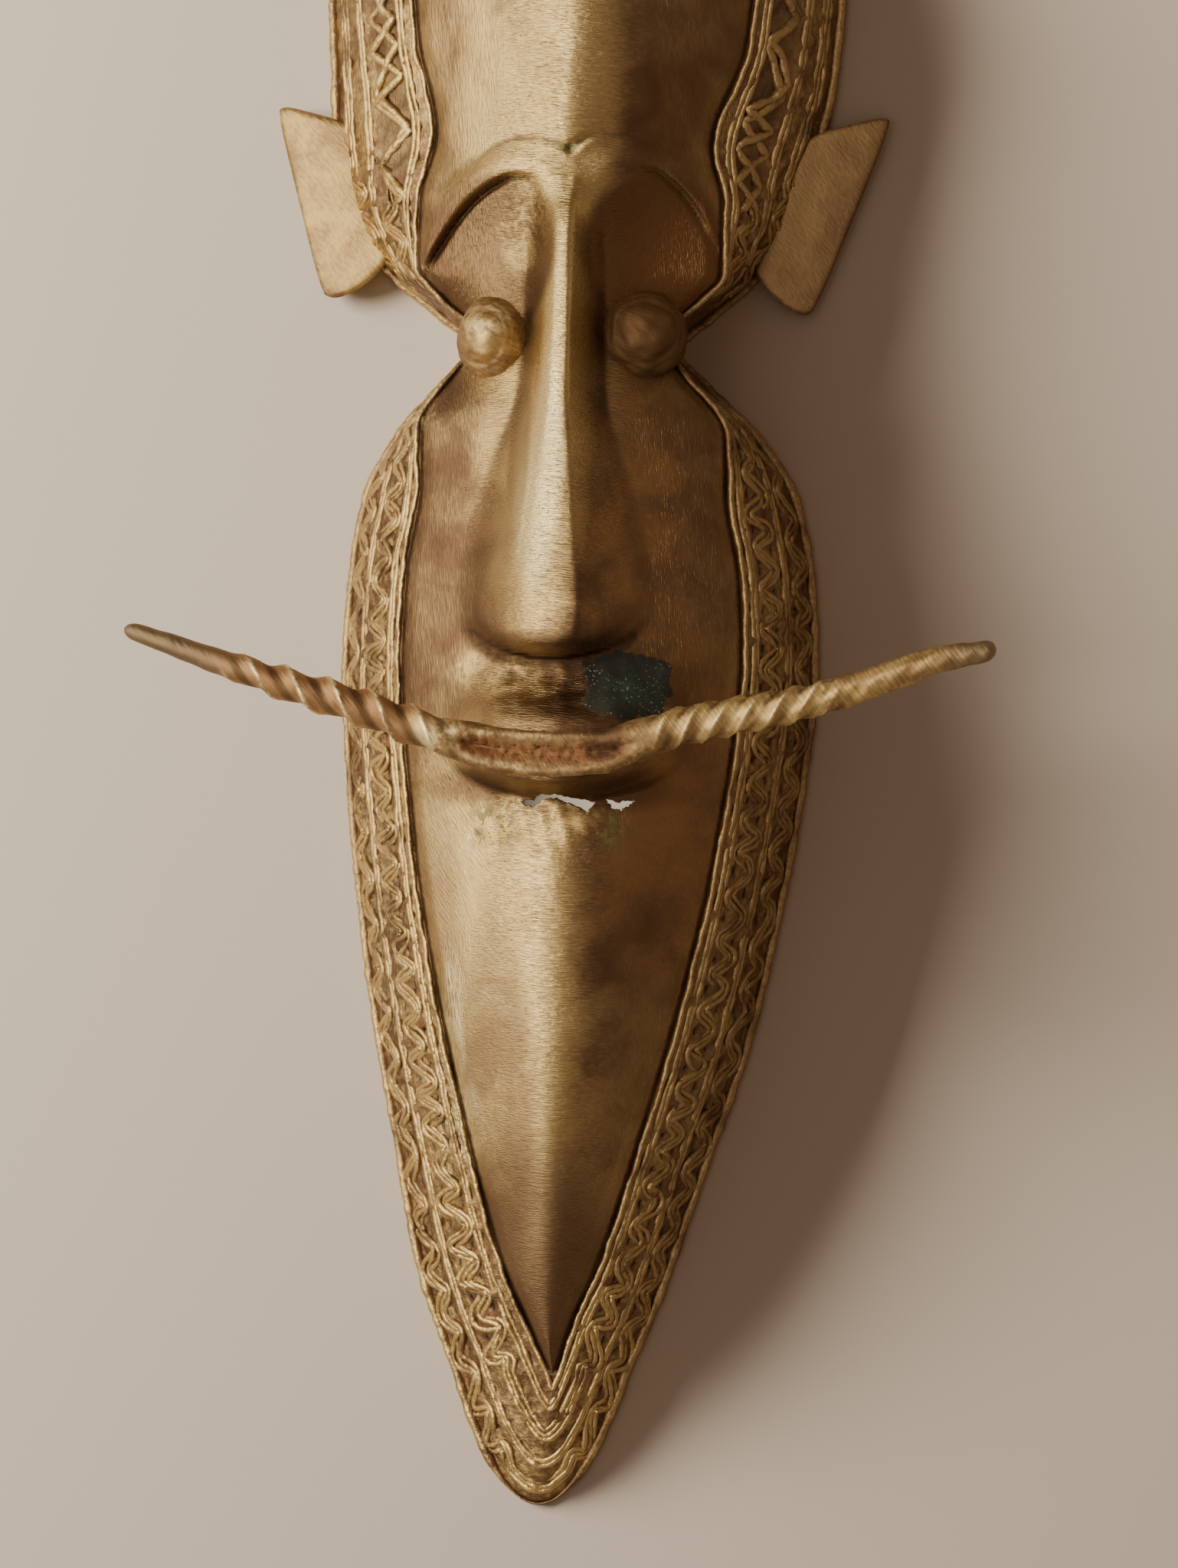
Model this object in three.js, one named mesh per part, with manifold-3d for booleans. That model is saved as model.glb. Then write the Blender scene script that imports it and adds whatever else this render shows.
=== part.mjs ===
// Brass mask, lying on its rim with the face up.
// A thin cast shell: a domed forehead, a pinched waist with the two eyes, and a long pointed lower face.
// Round it runs a sloping border of relief threads, and twisted rods grow out of the corners of the mouth.
// Millimetres. +X is the right of the face as seen, +Y runs from chin to forehead, +Z out of the face.
// The rim lies in the plane Z = 0, and the tip of the chin starts as X = 0.
import * as THREE from 'three';
import { mergeVertices } from 'three/addons/utils/BufferGeometryUtils.js';
import Module from 'manifold-3d';

const wasm = await Module();
wasm.setup();

// Driving dimensions
const wall = 2.6;
const rimFoot = 3.4;
const tipY = -233;
const topY = 233;
const chinY = -200;
const domeY = 150;
const domeHalf = 65.5;
const chinHalf = 21.4;
// The smooth face ends in a point above the tip, and in an arch below the top of the dome.
const pointY = -200;
const archTopY = 208;
const archHalf = 43.1;
const joinY = -160;

// Half width and middle line of the rim, along Y
const rimHalfStations = [
  [chinY, chinHalf], [-176, 30.6], [-144, 39.3], [-112, 47.6], [-80, 53.5], [-48, 57.9], [-20, 60.1],
  [4, 58.8], [24, 55.2], [40, 46.2], [54, 33], [63, 25.5], [72, 35], [82, 46.8], [96, 56], [120, 62.8],
  [domeY, domeHalf],
];
const rimMidStations = [
  [tipY, 0], [-180, -0.4], [-110, 2.7], [-16, 4], [24, 3.2], [60, 0.5], [100, -2], [136, 0.2], [topY, 0.2],
];

// Half width, middle line and height of the edge of the smooth face
const edgeHalfStations = [
  [pointY, 0], [-184, 5.8], [-168, 12.6], [-128, 24.2], [-96, 32.1], [-64, 38.1], [-16, 42.9], [4, 42],
  [24, 38.8], [40, 38.6], [54, 29.2], [63, 22.6], [72, 31.6], [80, 38.4], [96, 38.5], [112, 35.2],
  [136, 41.5], [domeY, archHalf],
];
const edgeMidStations = [
  [pointY, 4.8], [-176, 3.4], [-100, 4.2], [-24, 4.8], [30, 3.6], [60, 1.2], [104, 0.6], [136, 2.2],
  [archTopY, 1.5],
];
const edgeHeightStations = [
  [pointY, 17], [-176, 21], [-140, 26], [-100, 29.5], [-40, 31], [10, 31], [40, 28], [63, 24], [80, 27],
  [archTopY, 28],
];

// Height of the smooth face along its middle, with no features on it
const crownStations = [
  [pointY, 17], [-170, 29], [-140, 37], [-100, 44], [-60, 47.5], [-20, 47], [20, 44], [50, 39], [63, 37],
  [80, 39], [105, 45], [130, 48], [160, 46.5], [185, 41], [archTopY, 28],
];
const archPower = 2.3;
const edgeGroove = 1.2;
const edgeGrooveWidth = 3;

// Nose: a wedge with a rounded ridge, cut off in a curve above the lips
const noseX = 1;
const noseTopY = 112;
const noseTopFade = 18;
const noseEndY = -17;
const noseEndRise = 7;
const noseEndStep = 0.5;
const noseSpread = 23;
const noseUndercut = 2.5;
const ridgeHalfStations = [[noseEndY, 7.5], [-6, 8.5], [10, 6.7], [30, 4.7], [48, 3], [noseTopY, 2.2]];
const ridgeHeightStations = [
  [noseEndY, 61], [-6, 60.5], [10, 57.5], [30, 54], [63, 51], [95, 49.5], [noseTopY, 48],
];
const noseBaseStations = [
  [noseEndY, 22], [-5, 24.5], [8, 22.5], [21, 18], [31, 14.5], [50, 8.5], [noseTopY, 6.5],
];
const ridgeRounding = 1.6;
const noseSink = 2;

// Brows: raised bands that spring from the nose and curve out and down; the right one mirrors the left.
// The third number lifts the band's middle off the face, or sinks it.
const browMirrorX = 6;
const browLine = [
  [1, 90, -5.5], [-1.8, 99, -4], [-8.5, 105.6, -1.2], [-18, 103.6, -0.6], [-26.5, 97, -0.8], [-33.6, 86, -3],
];
const browRadius = 4.4;
const browSteps = 10;

// Sockets: shallow bowls between brow, nose and eye
const socketX = -17.5;
const socketY = 84;
const socketHalf = 17;
const socketRise = 18;
const socketDepth = 3.4;
const socketBowl = 1.4;

// Eyes: a ball in a lid ring that leans outwards
const eyes = [
  { side: -1, x: -17.8, y: 62.3, lidX: -15.6, lidTilt: 0.42 },
  { side: 1, x: 20.4, y: 63.4, lidX: 20.2, lidTilt: 0.2 },
];
const eyeZ = 30.5;
const ballRadius = 8.2;
const ballSides = 10;
const ballBands = 7;
const lidRadius = 9.2;
const lidThread = 2.2;
const lidSteps = 14;
const lidSides = 5;
const lidUp = 0.4;
const lidOut = 1.2;

// Muzzle: the swelling that carries the lips
const mouthX = 4;
const muzzleLift = 11;
const muzzleHalf = 30;
const muzzleFlat = 15;
const muzzleRise = [-20, -34];
const muzzleFall = [-52.5, -47.5];

// Lips and rods: the rod from each side splits into the upper and the lower lip
const strandSegments = 4;
const lipZ = 60.5;
const lipRadius = 3.3;
const leftCorner = [-28, -38, 0];
const rightCorner = [28, -34.6, 0];
const upperLip = [leftCorner, [-14, -35.8, 0.9], [0, -36, 1.3], [14, -35.8, 0.9], rightCorner];
const lowerLip = [leftCorner, [-16, -42.6, 0], [-3, -46, 0.5], [12, -43, 0], rightCorner];
const rods = [
  {
    side: -1,
    path: [[23, -37.6], [33, -35.6], [46, -31.4], [60, -27.6], [80, -21.8], [92, -18], [105.2, -13.8]],
    radius: [[0, 4.7], [0.42, 4.5], [0.7, 3.1], [1, 2]],
    lobe: 0.2,
    lobePitch: 12,
    twistFrom: 0.04,
    twistTo: 0.72,
  },
  {
    side: 1,
    path: [[23, -35.2], [34, -33], [46, -30.2], [60, -26.9], [78, -21], [90, -16.4], [105.2, -12.9]],
    radius: [[0, 4.8], [0.4, 4.3], [0.75, 3.5], [1, 2.4]],
    lobe: 0.13,
    lobePitch: 10,
    twistFrom: 0.04,
    twistTo: 0.66,
  },
];
const rodSteps = 24;
const rodSides = 8;
const rodBlunt = 0.6;
// Where the lobes fade out, as shares of the rod's length before and after the end of the twist
const twistFade = [-0.15, 0.05];
const lipSteps = 8;

// Ears: thin leaves that grow out of the border at the rim
const earThickness = 2.1;
const earBaseZ = 3.6;
const earLift = 4;
const earBow = 0.015;
const earRounding = 0.03;
const ears = [
  { top: [-60, 119], topTip: [-79.2, 124.6], lowTip: [-65, 74], low: [-49, 84.5] },
  { top: [60.5, 118], topTip: [80.2, 124.2], lowTip: [60.6, 71.5], low: [46.2, 84.5] },
];
const earSteps = 4;

// Split in the metal under the lower lip: two ragged gaps right through the wall, cut between two heights
const splitLow = 10;
const splitHigh = 70;
const splits = [
  [
    [-4.6, -52.8], [-1.5, -52.5], [0, -50.9], [4, -50.6], [8.6, -51.6], [13.4, -52.4], [11.4, -55],
    [7.6, -52.9], [4.3, -51.6], [1.6, -51.6], [-1.4, -54.2], [-3.8, -53.6],
  ],
  [[15.8, -51.6], [18.2, -52.2], [22.9, -51.9], [21.4, -53.2], [19.4, -54.4], [17.2, -53.8]],
];

// Border threads: places across the border, from the rim (0) to the face (1), and their heights.
// The two wide zones between the threads carry a zigzag: its corners are raised turn by turn.
const threadHeight = 1.4;
const zigzagFloor = -0.3;
const zigzagFade = 25;
const bandBulge = 1.25;
const bandColumns = [
  { at: 0, lift: 0 },
  { at: 0.05, lift: threadHeight },
  { at: 0.11, zigzag: 0 },
  { at: 0.36, zigzag: 1 },
  { at: 0.44, lift: threadHeight },
  { at: 0.52, zigzag: 0 },
  { at: 0.79, zigzag: 1 },
  { at: 0.88, lift: threadHeight },
  { at: 1, lift: 0 },
];
const bandStep = 5.75;
const chinRows = 6;
const domeRows = 11;
// Strips of the face on each side, between the foot of the nose and the border, outside and in the hollow
const cheekStrips = 5;
const hollowStrips = 3;
// The columns on the nose's ridge and at its foot keep within these shares of the half width.
const ridgeShare = 0.15;
const footShare = 0.6;
// Where the columns of the face leave the line of the nose for the middle of the face
const noseLineBelow = [-60, noseEndY];
const noseLineAbove = [140, noseTopY];
// The hollow has a row for every row of the shell behind mouth, nose and eyes, and fewer elsewhere.
const hollowFine = [-66, 92];
const hollowCoarse = 4;
const hollowEnds = [4, 3];
// How far short of the nose's own end the hollow behind it stops
const noseHollowEnd = 8;
// The wall is measured square to the surface, so straight down it is this much thicker.
const slantAllowance = 1.12;
// The hollow's cutter starts this far below the rim, and no width is taken as less than the least one.
const hollowBelow = 1;
const leastWidth = 0.5;
// Steps for measuring the border's slope: millimetres along it, and a share of the way across
const slopeStep = 0.4;
const slopeShare = 0.04;

const clamp = (value, low, high) => Math.min(Math.max(value, low), high);
const mix = (a, b, share) => a + (b - a) * share;

// Smooth step from 0 at `from` to 1 at `to`, which may run either way.
function ease(value, from, to) {
  const share = clamp((value - from) / (to - from), 0, 1);
  return share * share * (3 - 2 * share);
}

// The larger of two heights, with the corner between them rounded over `round`.
function blendMax(a, b, round) {
  const overlap = Math.max(round - Math.abs(a - b), 0) / round;
  return Math.max(a, b) + (overlap * overlap * round) / 4;
}

// Smooth curve through [position, value] stations that never overshoots them.
function profile(stations) {
  const steps = stations.slice(1).map((next, i) => next[0] - stations[i][0]);
  const chords = stations.slice(1).map((next, i) => (next[1] - stations[i][1]) / steps[i]);
  const slopes = stations.map((_, i) => {
    const before = chords[Math.max(i - 1, 0)];
    const after = chords[Math.min(i, chords.length - 1)];
    return before * after <= 0 ? 0 : (2 * before * after) / (before + after);
  });
  return (position) => {
    const x = clamp(position, stations[0][0], stations[stations.length - 1][0]);
    let i = 0;
    while (i < steps.length - 1 && x > stations[i + 1][0]) i += 1;
    const t = (x - stations[i][0]) / steps[i];
    const rise = stations[i + 1][1] - stations[i][1];
    const cubic = slopes[i] * steps[i] + slopes[i + 1] * steps[i] - 2 * rise;
    const square = rise - slopes[i] * steps[i] - cubic;
    return stations[i][1] + t * (slopes[i] * steps[i] + t * (square + t * cubic));
  };
}

const rimMid = profile(rimMidStations);
const rimBody = profile(rimHalfStations);
const edgeMid = profile(edgeMidStations);
const edgeBody = profile(edgeHalfStations);
const edgeHeight = profile(edgeHeightStations);
const crown = profile(crownStations);
const ridgeHalf = profile(ridgeHalfStations);
const ridgeHeight = profile(ridgeHeightStations);
const noseBase = profile(noseBaseStations);

function rimHalf(y) {
  if (y < chinY) return chinHalf * Math.sqrt(Math.max(y - tipY, 0) / (chinY - tipY));
  if (y > domeY) return domeHalf * Math.sqrt(Math.max(1 - ((y - domeY) / (topY - domeY)) ** 2, 0));
  return rimBody(y);
}

function edgeHalf(y) {
  if (y > domeY) return archHalf * Math.sqrt(Math.max(1 - ((y - domeY) / (archTopY - domeY)) ** 2, 0));
  return edgeBody(y);
}

// Y of the face's edge that belongs to a place on the rim: the same, except at both ends.
function edgeYAt(rimY) {
  if (rimY < joinY) return mix(pointY, joinY, (rimY - tipY) / (joinY - tipY));
  if (rimY > domeY) return mix(domeY, archTopY, (rimY - domeY) / (topY - domeY));
  return rimY;
}

function socketAt(x, y) {
  let depth = 0;
  for (const middle of [socketX, browMirrorX - socketX]) {
    const reach = ((x - middle) / socketHalf) ** 2 + ((y - socketY) / socketRise) ** 2;
    if (reach < 1) depth += socketDepth * (1 - reach) ** socketBowl;
  }
  return depth;
}

function muzzleAt(x, y, inset) {
  const across = Math.abs(x - mouthX) + inset;
  const side = 1 - ease(across, muzzleFlat, muzzleHalf);
  return muzzleLift * side * ease(y + inset, ...muzzleRise) * ease(y - inset, ...muzzleFall);
}

// Height of the smooth face. An inset above 0 gives the inner face of the wall instead.
function faceHeight(x, y, inset = 0) {
  const half = Math.max(edgeHalf(y), leastWidth);
  const share = clamp(Math.abs(x - edgeMid(y)) / half, 0, 1);
  const bow = (crown(y) - edgeHeight(y)) * (1 - share ** archPower);
  const groove = edgeGroove * ease(share * half, half - edgeGrooveWidth, half);
  const ground = edgeHeight(y) + bow - groove - socketAt(x, y) + muzzleAt(x, y, inset);
  const across = Math.abs(x - noseX);
  const reach = Math.max(noseBase(y) - inset, 2 * leastWidth);
  const top = Math.min(ridgeHalf(y), reach - leastWidth);
  const flank = clamp((reach - across) / (reach - top), 0, 1);
  const round = ridgeRounding * Math.min(across / top, 1) ** 2;
  const endY = noseEndY + noseEndRise * (across / noseSpread) ** 2 + (inset > 0 ? noseHollowEnd : 0);
  const here = ease(y, endY - noseUndercut, endY + noseEndStep) * ease(y, noseTopY, noseTopY - noseTopFade);
  const ridge = mix(ground - noseSink, ridgeHeight(y) - round, flank * here);
  const height = flank * here > 0 ? blendMax(ground, ridge, noseSink) : ground;
  return height - inset * slantAllowance;
}

// Point on the plain border: side -1 or 1, a place on the rim and a place across, from rim to face.
function borderPoint(side, rimY, at) {
  const edgeY = edgeYAt(rimY);
  const inwards = at ** bandBulge;
  const upwards = 1 - (1 - at) ** bandBulge;
  const rimX = rimMid(rimY) + side * rimHalf(rimY);
  const edgeX = edgeMid(edgeY) + side * edgeHalf(edgeY);
  const lowest = edgeHeight(edgeY) - edgeGroove;
  return new THREE.Vector3(mix(rimX, edgeX, inwards), mix(rimY, edgeY, inwards), lowest * upwards);
}

// Direction out of the border of one side, from its slopes along and across.
function sideNormal(side, rimY, at) {
  const low = clamp(rimY - slopeStep, tipY, topY);
  const high = clamp(rimY + slopeStep, tipY, topY);
  const along = borderPoint(side, high, at).sub(borderPoint(side, low, at));
  const inner = clamp(at + slopeShare, 0, 1);
  const outer = clamp(at - slopeShare, 0, 1);
  const across = borderPoint(side, rimY, inner).sub(borderPoint(side, rimY, outer));
  return along.cross(across).normalize().multiplyScalar(side);
}

const atEnd = (rimY) => rimY === tipY || rimY === topY;

// Direction out of the border. At both ends the two sides meet and share it.
function borderNormal(side, rimY, at) {
  const normal = sideNormal(side, rimY, at);
  return atEnd(rimY) ? normal.add(sideNormal(-side, rimY, at)).normalize() : normal;
}

// Y of every row of the shell: close together at the chin and over the dome, evenly spaced between.
function rowPlaces() {
  const bodyRows = Math.round((domeY - chinY) / bandStep);
  const places = [];
  for (let i = 0; i < chinRows; i += 1) places.push(tipY + (chinY - tipY) * (i / chinRows) ** 2);
  for (let i = 0; i < bodyRows; i += 1) places.push(mix(chinY, domeY, i / bodyRows));
  for (let i = 0; i < domeRows; i += 1) {
    places.push(domeY + (topY - domeY) * Math.sin((i / domeRows) * (Math.PI / 2)));
  }
  places.push(topY);
  return places;
}

// Half a row: the border from rim to face, with its threads. The zigzag's raised corner swaps each row.
function borderRow(side, rimY, row) {
  return bandColumns.map((column) => {
    const turn = (row + (side > 0 ? 1 : 0)) % 2;
    const peak = threadHeight * ease(rimY, tipY, tipY + zigzagFade);
    const corner = column.zigzag === turn && !atEnd(rimY) ? peak : zigzagFloor;
    const lift = column.zigzag === undefined ? column.lift : corner;
    const point = borderPoint(side, rimY, column.at);
    point.addScaledVector(borderNormal(side, rimY, column.at), lift);
    point.z = Math.max(point.z, 0);
    return point;
  });
}

// X of a row's columns on one side, from the nose outwards: its ridge, its foot, then even strips.
function columnsOf(side, y, strips, inset) {
  const onNose = ease(y, ...noseLineBelow) * ease(y, ...noseLineAbove);
  const middle = mix(edgeMid(y), noseX, onNose);
  const reach = Math.max(edgeMid(y) * side + edgeHalf(y) - inset - middle * side, 0);
  const ridge = Math.min(ridgeHalf(y), ridgeShare * reach);
  const foot = Math.min(noseBase(y), footShare * reach);
  const columns = [ridge];
  for (let i = 0; i < strips; i += 1) columns.push(mix(foot, reach, i / strips));
  return { middle, columns: columns.map((x) => middle + side * x) };
}

// Face points of one row, without its two edges.
function faceRow(rimY, strips, inset) {
  const y = edgeYAt(rimY);
  const left = columnsOf(-1, y, strips, inset);
  const right = columnsOf(1, y, strips, inset);
  const places = [...left.columns.reverse(), left.middle, ...right.columns];
  return places.map((x) => new THREE.Vector3(x, y, faceHeight(x, y, inset)));
}

// Inner side of the wall: foot, middle and top of the border.
function hollowRow(side, rimY) {
  const foot = borderPoint(side, rimY, 0);
  const outwards = borderNormal(side, rimY, 0).setZ(0).normalize();
  foot.addScaledVector(outwards, -rimFoot);
  const belowRim = foot.clone().setZ(-hollowBelow);
  const middle = borderPoint(side, rimY, 0.5).addScaledVector(borderNormal(side, rimY, 0.5), -wall);
  const y = edgeYAt(rimY);
  const edgeX = edgeMid(y) + side * Math.max(edgeHalf(y) - wall, leastWidth);
  const top = new THREE.Vector3(edgeX, y, edgeHeight(y) - edgeGroove - wall);
  return [belowRim, foot, middle, top];
}

// Closed body from rings of points; neighbouring rings are joined, and the ends are closed when asked.
function skin(rings, closeEnds) {
  const positions = [];
  const add = (...points) => points.forEach((point) => positions.push(point.x, point.y, point.z));
  for (let i = 0; i < rings.length - 1; i += 1) {
    const count = rings[i].length;
    for (let j = 0; j < count; j += 1) {
      const a = rings[i][j];
      const b = rings[i][(j + 1) % count];
      const c = rings[i + 1][(j + 1) % count];
      const d = rings[i + 1][j];
      if (i % 2 === 0) add(a, b, c, a, c, d);
      else add(a, b, d, b, c, d);
    }
  }
  if (closeEnds) {
    for (const [ring, forwards] of [[rings[0], false], [rings[rings.length - 1], true]]) {
      const centre = ring.reduce((sum, point) => sum.add(point), new THREE.Vector3());
      centre.divideScalar(ring.length);
      ring.forEach((point, j) => {
        const next = ring[(j + 1) % ring.length];
        if (forwards) add(centre, point, next);
        else add(centre, next, point);
      });
    }
  }
  const geometry = new THREE.BufferGeometry();
  geometry.setAttribute('position', new THREE.Float32BufferAttribute(positions, 3));
  return geometry;
}

// Corners this close are one corner.
const mergeWithin = 1e-3;

// A geometry as a solid: shared corners are merged and triangles of no area are left out.
function solid(geometry) {
  geometry.deleteAttribute('normal');
  geometry.deleteAttribute('uv');
  const merged = mergeVertices(geometry, mergeWithin);
  const corners = [];
  for (let i = 0; i < merged.index.count; i += 3) {
    const [a, b, c] = [0, 1, 2].map((k) => merged.index.getX(i + k));
    if (a !== b && b !== c && a !== c) corners.push(a, b, c);
  }
  const mesh = new wasm.Mesh({
    numProp: 3,
    vertProperties: new Float32Array(merged.attributes.position.array),
    triVerts: new Uint32Array(corners),
  });
  return new wasm.Manifold(mesh);
}

function makeShell() {
  const places = rowPlaces();
  const outer = places.map((rimY, row) => {
    const left = borderRow(-1, rimY, row);
    const right = borderRow(1, rimY, row).reverse();
    return [...left, ...faceRow(rimY, cheekStrips, 0), ...right];
  });
  const inside = places.slice(hollowEnds[0], places.length - hollowEnds[1]);
  const hollowPlaces = inside.filter((rimY, row) => {
    const fine = rimY > hollowFine[0] && rimY < hollowFine[1];
    return fine || row % hollowCoarse === 0 || row === inside.length - 1;
  });
  const hollow = hollowPlaces.map((rimY) => {
    return [...hollowRow(-1, rimY), ...faceRow(rimY, hollowStrips, wall), ...hollowRow(1, rimY).reverse()];
  });
  return solid(skin(outer, false)).subtract(solid(skin(hollow, true)));
}

// Tube of one thickness along a line of points. Its round section has twice as many sides as segments.
function strand(points, radius, steps) {
  const path = new THREE.CatmullRomCurve3(points);
  const section = new THREE.Shape();
  section.absarc(0, 0, radius, 0, Math.PI * 2);
  const settings = { steps, curveSegments: strandSegments, extrudePath: path };
  return solid(new THREE.ExtrudeGeometry(section, settings));
}

function makeLip(line) {
  const points = line.map(([x, y, z]) => new THREE.Vector3(mouthX + x, y, lipZ + z));
  return strand(points, lipRadius, lipSteps);
}

// Twisted rod: a two-lobed section that turns as it runs out, and tapers to a blunt end.
function makeRod(rod) {
  const points = rod.path.map(([x, y]) => new THREE.Vector3(mouthX + rod.side * x, y, lipZ));
  const path = new THREE.CatmullRomCurve3(points);
  const radiusAt = profile(rod.radius);
  const length = path.getLength();
  const rings = [];
  for (let i = 0; i <= rodSteps; i += 1) {
    const share = i / rodSteps;
    const centre = path.getPointAt(share);
    const tangent = path.getTangentAt(share);
    const upwards = new THREE.Vector3(0, 0, 1);
    const sideways = new THREE.Vector3().crossVectors(upwards, tangent).normalize();
    const blunt = share === 1 ? rodBlunt : 1;
    const turned = (clamp(share, rod.twistFrom, rod.twistTo) * length * Math.PI) / rod.lobePitch;
    const lobe = rod.lobe * (1 - ease(share - rod.twistTo, ...twistFade));
    const ring = [];
    for (let k = 0; k < rodSides; k += 1) {
      const angle = (k / rodSides) * Math.PI * 2;
      const radius = radiusAt(share) * blunt * (1 + lobe * Math.cos(2 * (angle - turned)));
      ring.push(centre.clone()
        .addScaledVector(sideways, radius * Math.cos(angle))
        .addScaledVector(upwards, radius * Math.sin(angle)));
    }
    rings.push(ring);
  }
  return solid(skin(rings, true));
}

// Brow: a rounded band half sunk in the face.
function makeBrow(toFace) {
  const points = browLine.map(([x, y, lift]) => {
    return new THREE.Vector3(toFace(x), y, faceHeight(toFace(x), y) + lift);
  });
  return strand(points, browRadius, browSteps);
}

function makeEye(eye) {
  const ball = new THREE.SphereGeometry(ballRadius, ballSides, ballBands);
  ball.translate(eye.x, eye.y, eyeZ);
  const lid = new THREE.TorusGeometry(lidRadius, lidThread, lidSides, lidSteps);
  lid.rotateY(eye.side * eye.lidTilt);
  lid.translate(eye.lidX, eye.y + lidUp, eyeZ + lidOut);
  return solid(ball).add(solid(lid));
}

// Ear: a leaf between four corners whose outer edge curls up a little.
function makeEar(ear) {
  const rings = [];
  for (let i = 0; i <= earSteps; i += 1) {
    const down = i / earSteps;
    const round = 1 - earRounding * (2 * down - 1) ** 4;
    const upper = [];
    const lower = [];
    for (let j = 0; j <= earSteps; j += 1) {
      const out = j / earSteps;
      const bow = 1 + earBow * Math.sin(down * Math.PI) * out;
      const atTop = [mix(ear.top[0], ear.topTip[0], out * round), mix(ear.top[1], ear.topTip[1], out)];
      const atLow = [mix(ear.low[0], ear.lowTip[0], out * round), mix(ear.low[1], ear.lowTip[1], out)];
      const x = mix(atTop[0], atLow[0], down);
      const y = mix(atTop[1], atLow[1], down);
      const z = earBaseZ + earLift * out * out;
      upper.push(new THREE.Vector3(x * bow, y, z));
      lower.push(new THREE.Vector3(x * bow, y, z - earThickness));
    }
    rings.push(ear.top[0] < 0 ? [...upper, ...lower.reverse()] : [...lower, ...upper.reverse()]);
  }
  return solid(skin(rings, true));
}

// A ragged hole straight through the wall.
function makeSplit(outline) {
  const shape = new THREE.Shape(outline.map(([x, y]) => new THREE.Vector2(x, y)));
  const cutter = new THREE.ExtrudeGeometry(shape, { depth: splitHigh - splitLow, bevelEnabled: false });
  cutter.translate(0, 0, splitLow);
  return solid(cutter);
}

// The joins can leave a sliver of no size where three surfaces meet: only the mask itself is kept.
function largestOf(body) {
  return body.decompose().reduce((best, piece) => (piece.volume() > best.volume() ? piece : best));
}

function makeMask() {
  let body = makeShell();
  for (const split of splits) body = body.subtract(makeSplit(split));
  for (const ear of ears) body = body.add(makeEar(ear));
  for (const toFace of [(x) => x, (x) => browMirrorX - x]) body = body.add(makeBrow(toFace));
  for (const eye of eyes) body = body.add(makeEye(eye));
  for (const lip of [upperLip, lowerLip]) body = body.add(makeLip(lip));
  for (const rod of rods) body = body.add(makeRod(rod));
  return largestOf(body);
}

const brass = new THREE.MeshStandardMaterial({ color: 0x9a7a45, roughness: 0.42, metalness: 0.95 });

// The origin ends up under the middle of the mask's box, on the plane that the rim lies in.
function toMesh(body, name) {
  const { vertProperties, triVerts } = body.getMesh();
  const geometry = new THREE.BufferGeometry();
  geometry.setAttribute('position', new THREE.BufferAttribute(new Float32Array(vertProperties), 3));
  geometry.setIndex(new THREE.BufferAttribute(new Uint32Array(triVerts), 1));
  geometry.computeBoundingBox();
  const middle = geometry.boundingBox.getCenter(new THREE.Vector3());
  const mesh = new THREE.Mesh(geometry, brass);
  mesh.name = name;
  mesh.position.set(-middle.x, -middle.y, 0);
  return mesh;
}

const mask = new THREE.Group();
mask.add(toMesh(makeMask(), 'mask'));

export default mask;
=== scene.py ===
# %% [markdown]
# # A cast brass mask
# The mask lies on its rim with the face up: a thin shell with a domed forehead, a waist at the eyes
# and a long pointed chin. A sloping border of wax threads runs round it, and twisted rods grow out of
# the corners of the mouth. This script builds its fine surface over the plain model and gives it a finish.

import math

import bmesh
import bpy
import numpy as np
from mathutils import Matrix, Vector


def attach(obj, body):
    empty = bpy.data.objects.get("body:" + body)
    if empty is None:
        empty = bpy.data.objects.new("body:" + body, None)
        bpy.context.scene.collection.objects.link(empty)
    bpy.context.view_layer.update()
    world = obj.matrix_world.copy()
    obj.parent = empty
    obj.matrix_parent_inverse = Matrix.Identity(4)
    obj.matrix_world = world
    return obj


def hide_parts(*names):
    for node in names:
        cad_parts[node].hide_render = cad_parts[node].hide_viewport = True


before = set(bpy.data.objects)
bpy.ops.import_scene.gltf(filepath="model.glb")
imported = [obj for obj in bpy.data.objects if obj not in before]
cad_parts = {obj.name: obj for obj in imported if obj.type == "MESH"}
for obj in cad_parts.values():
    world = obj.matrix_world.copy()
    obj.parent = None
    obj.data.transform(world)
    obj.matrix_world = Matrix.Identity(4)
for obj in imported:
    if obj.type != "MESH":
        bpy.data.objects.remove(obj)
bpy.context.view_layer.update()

# %% [markdown]
# Sizes below are millimetres from the tip of the chin in X, and from the level of the lower forehead
# in Y, because that is how a mask is measured. The frame counts metres from the middle of the mask's
# box, so one function moves every finished mesh there. The tip of the chin must land on the frame's.

# %% Places
MM = 0.001
BOX_MIDDLE = np.array([3.98, 0.24, 0.0])


def to_frame(points):
    return (np.asarray(points, float) - BOX_MIDDLE) * MM


chin_tip = min(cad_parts["mask"].data.vertices, key=lambda vertex: vertex.co.y).co
print("tip of the chin is off by", round((chin_tip.x - to_frame([0, 0, 0])[0]) / MM, 3), "mm")

# %% [markdown]
# Long flowing outlines come from a few stations, joined by a curve that never swings past them. It is
# what a boatbuilder's batten does, and it keeps a cheek from bulging between two measured widths.

# %% Curves


def ease(value, start, end):
    """0 before the start and 1 after the end, eased between; the end may come first."""
    share = np.clip((value - start) / (end - start), 0, 1)
    return share * share * (3 - 2 * share)


def mix(a, b, share):
    return a + (b - a) * share


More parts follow.
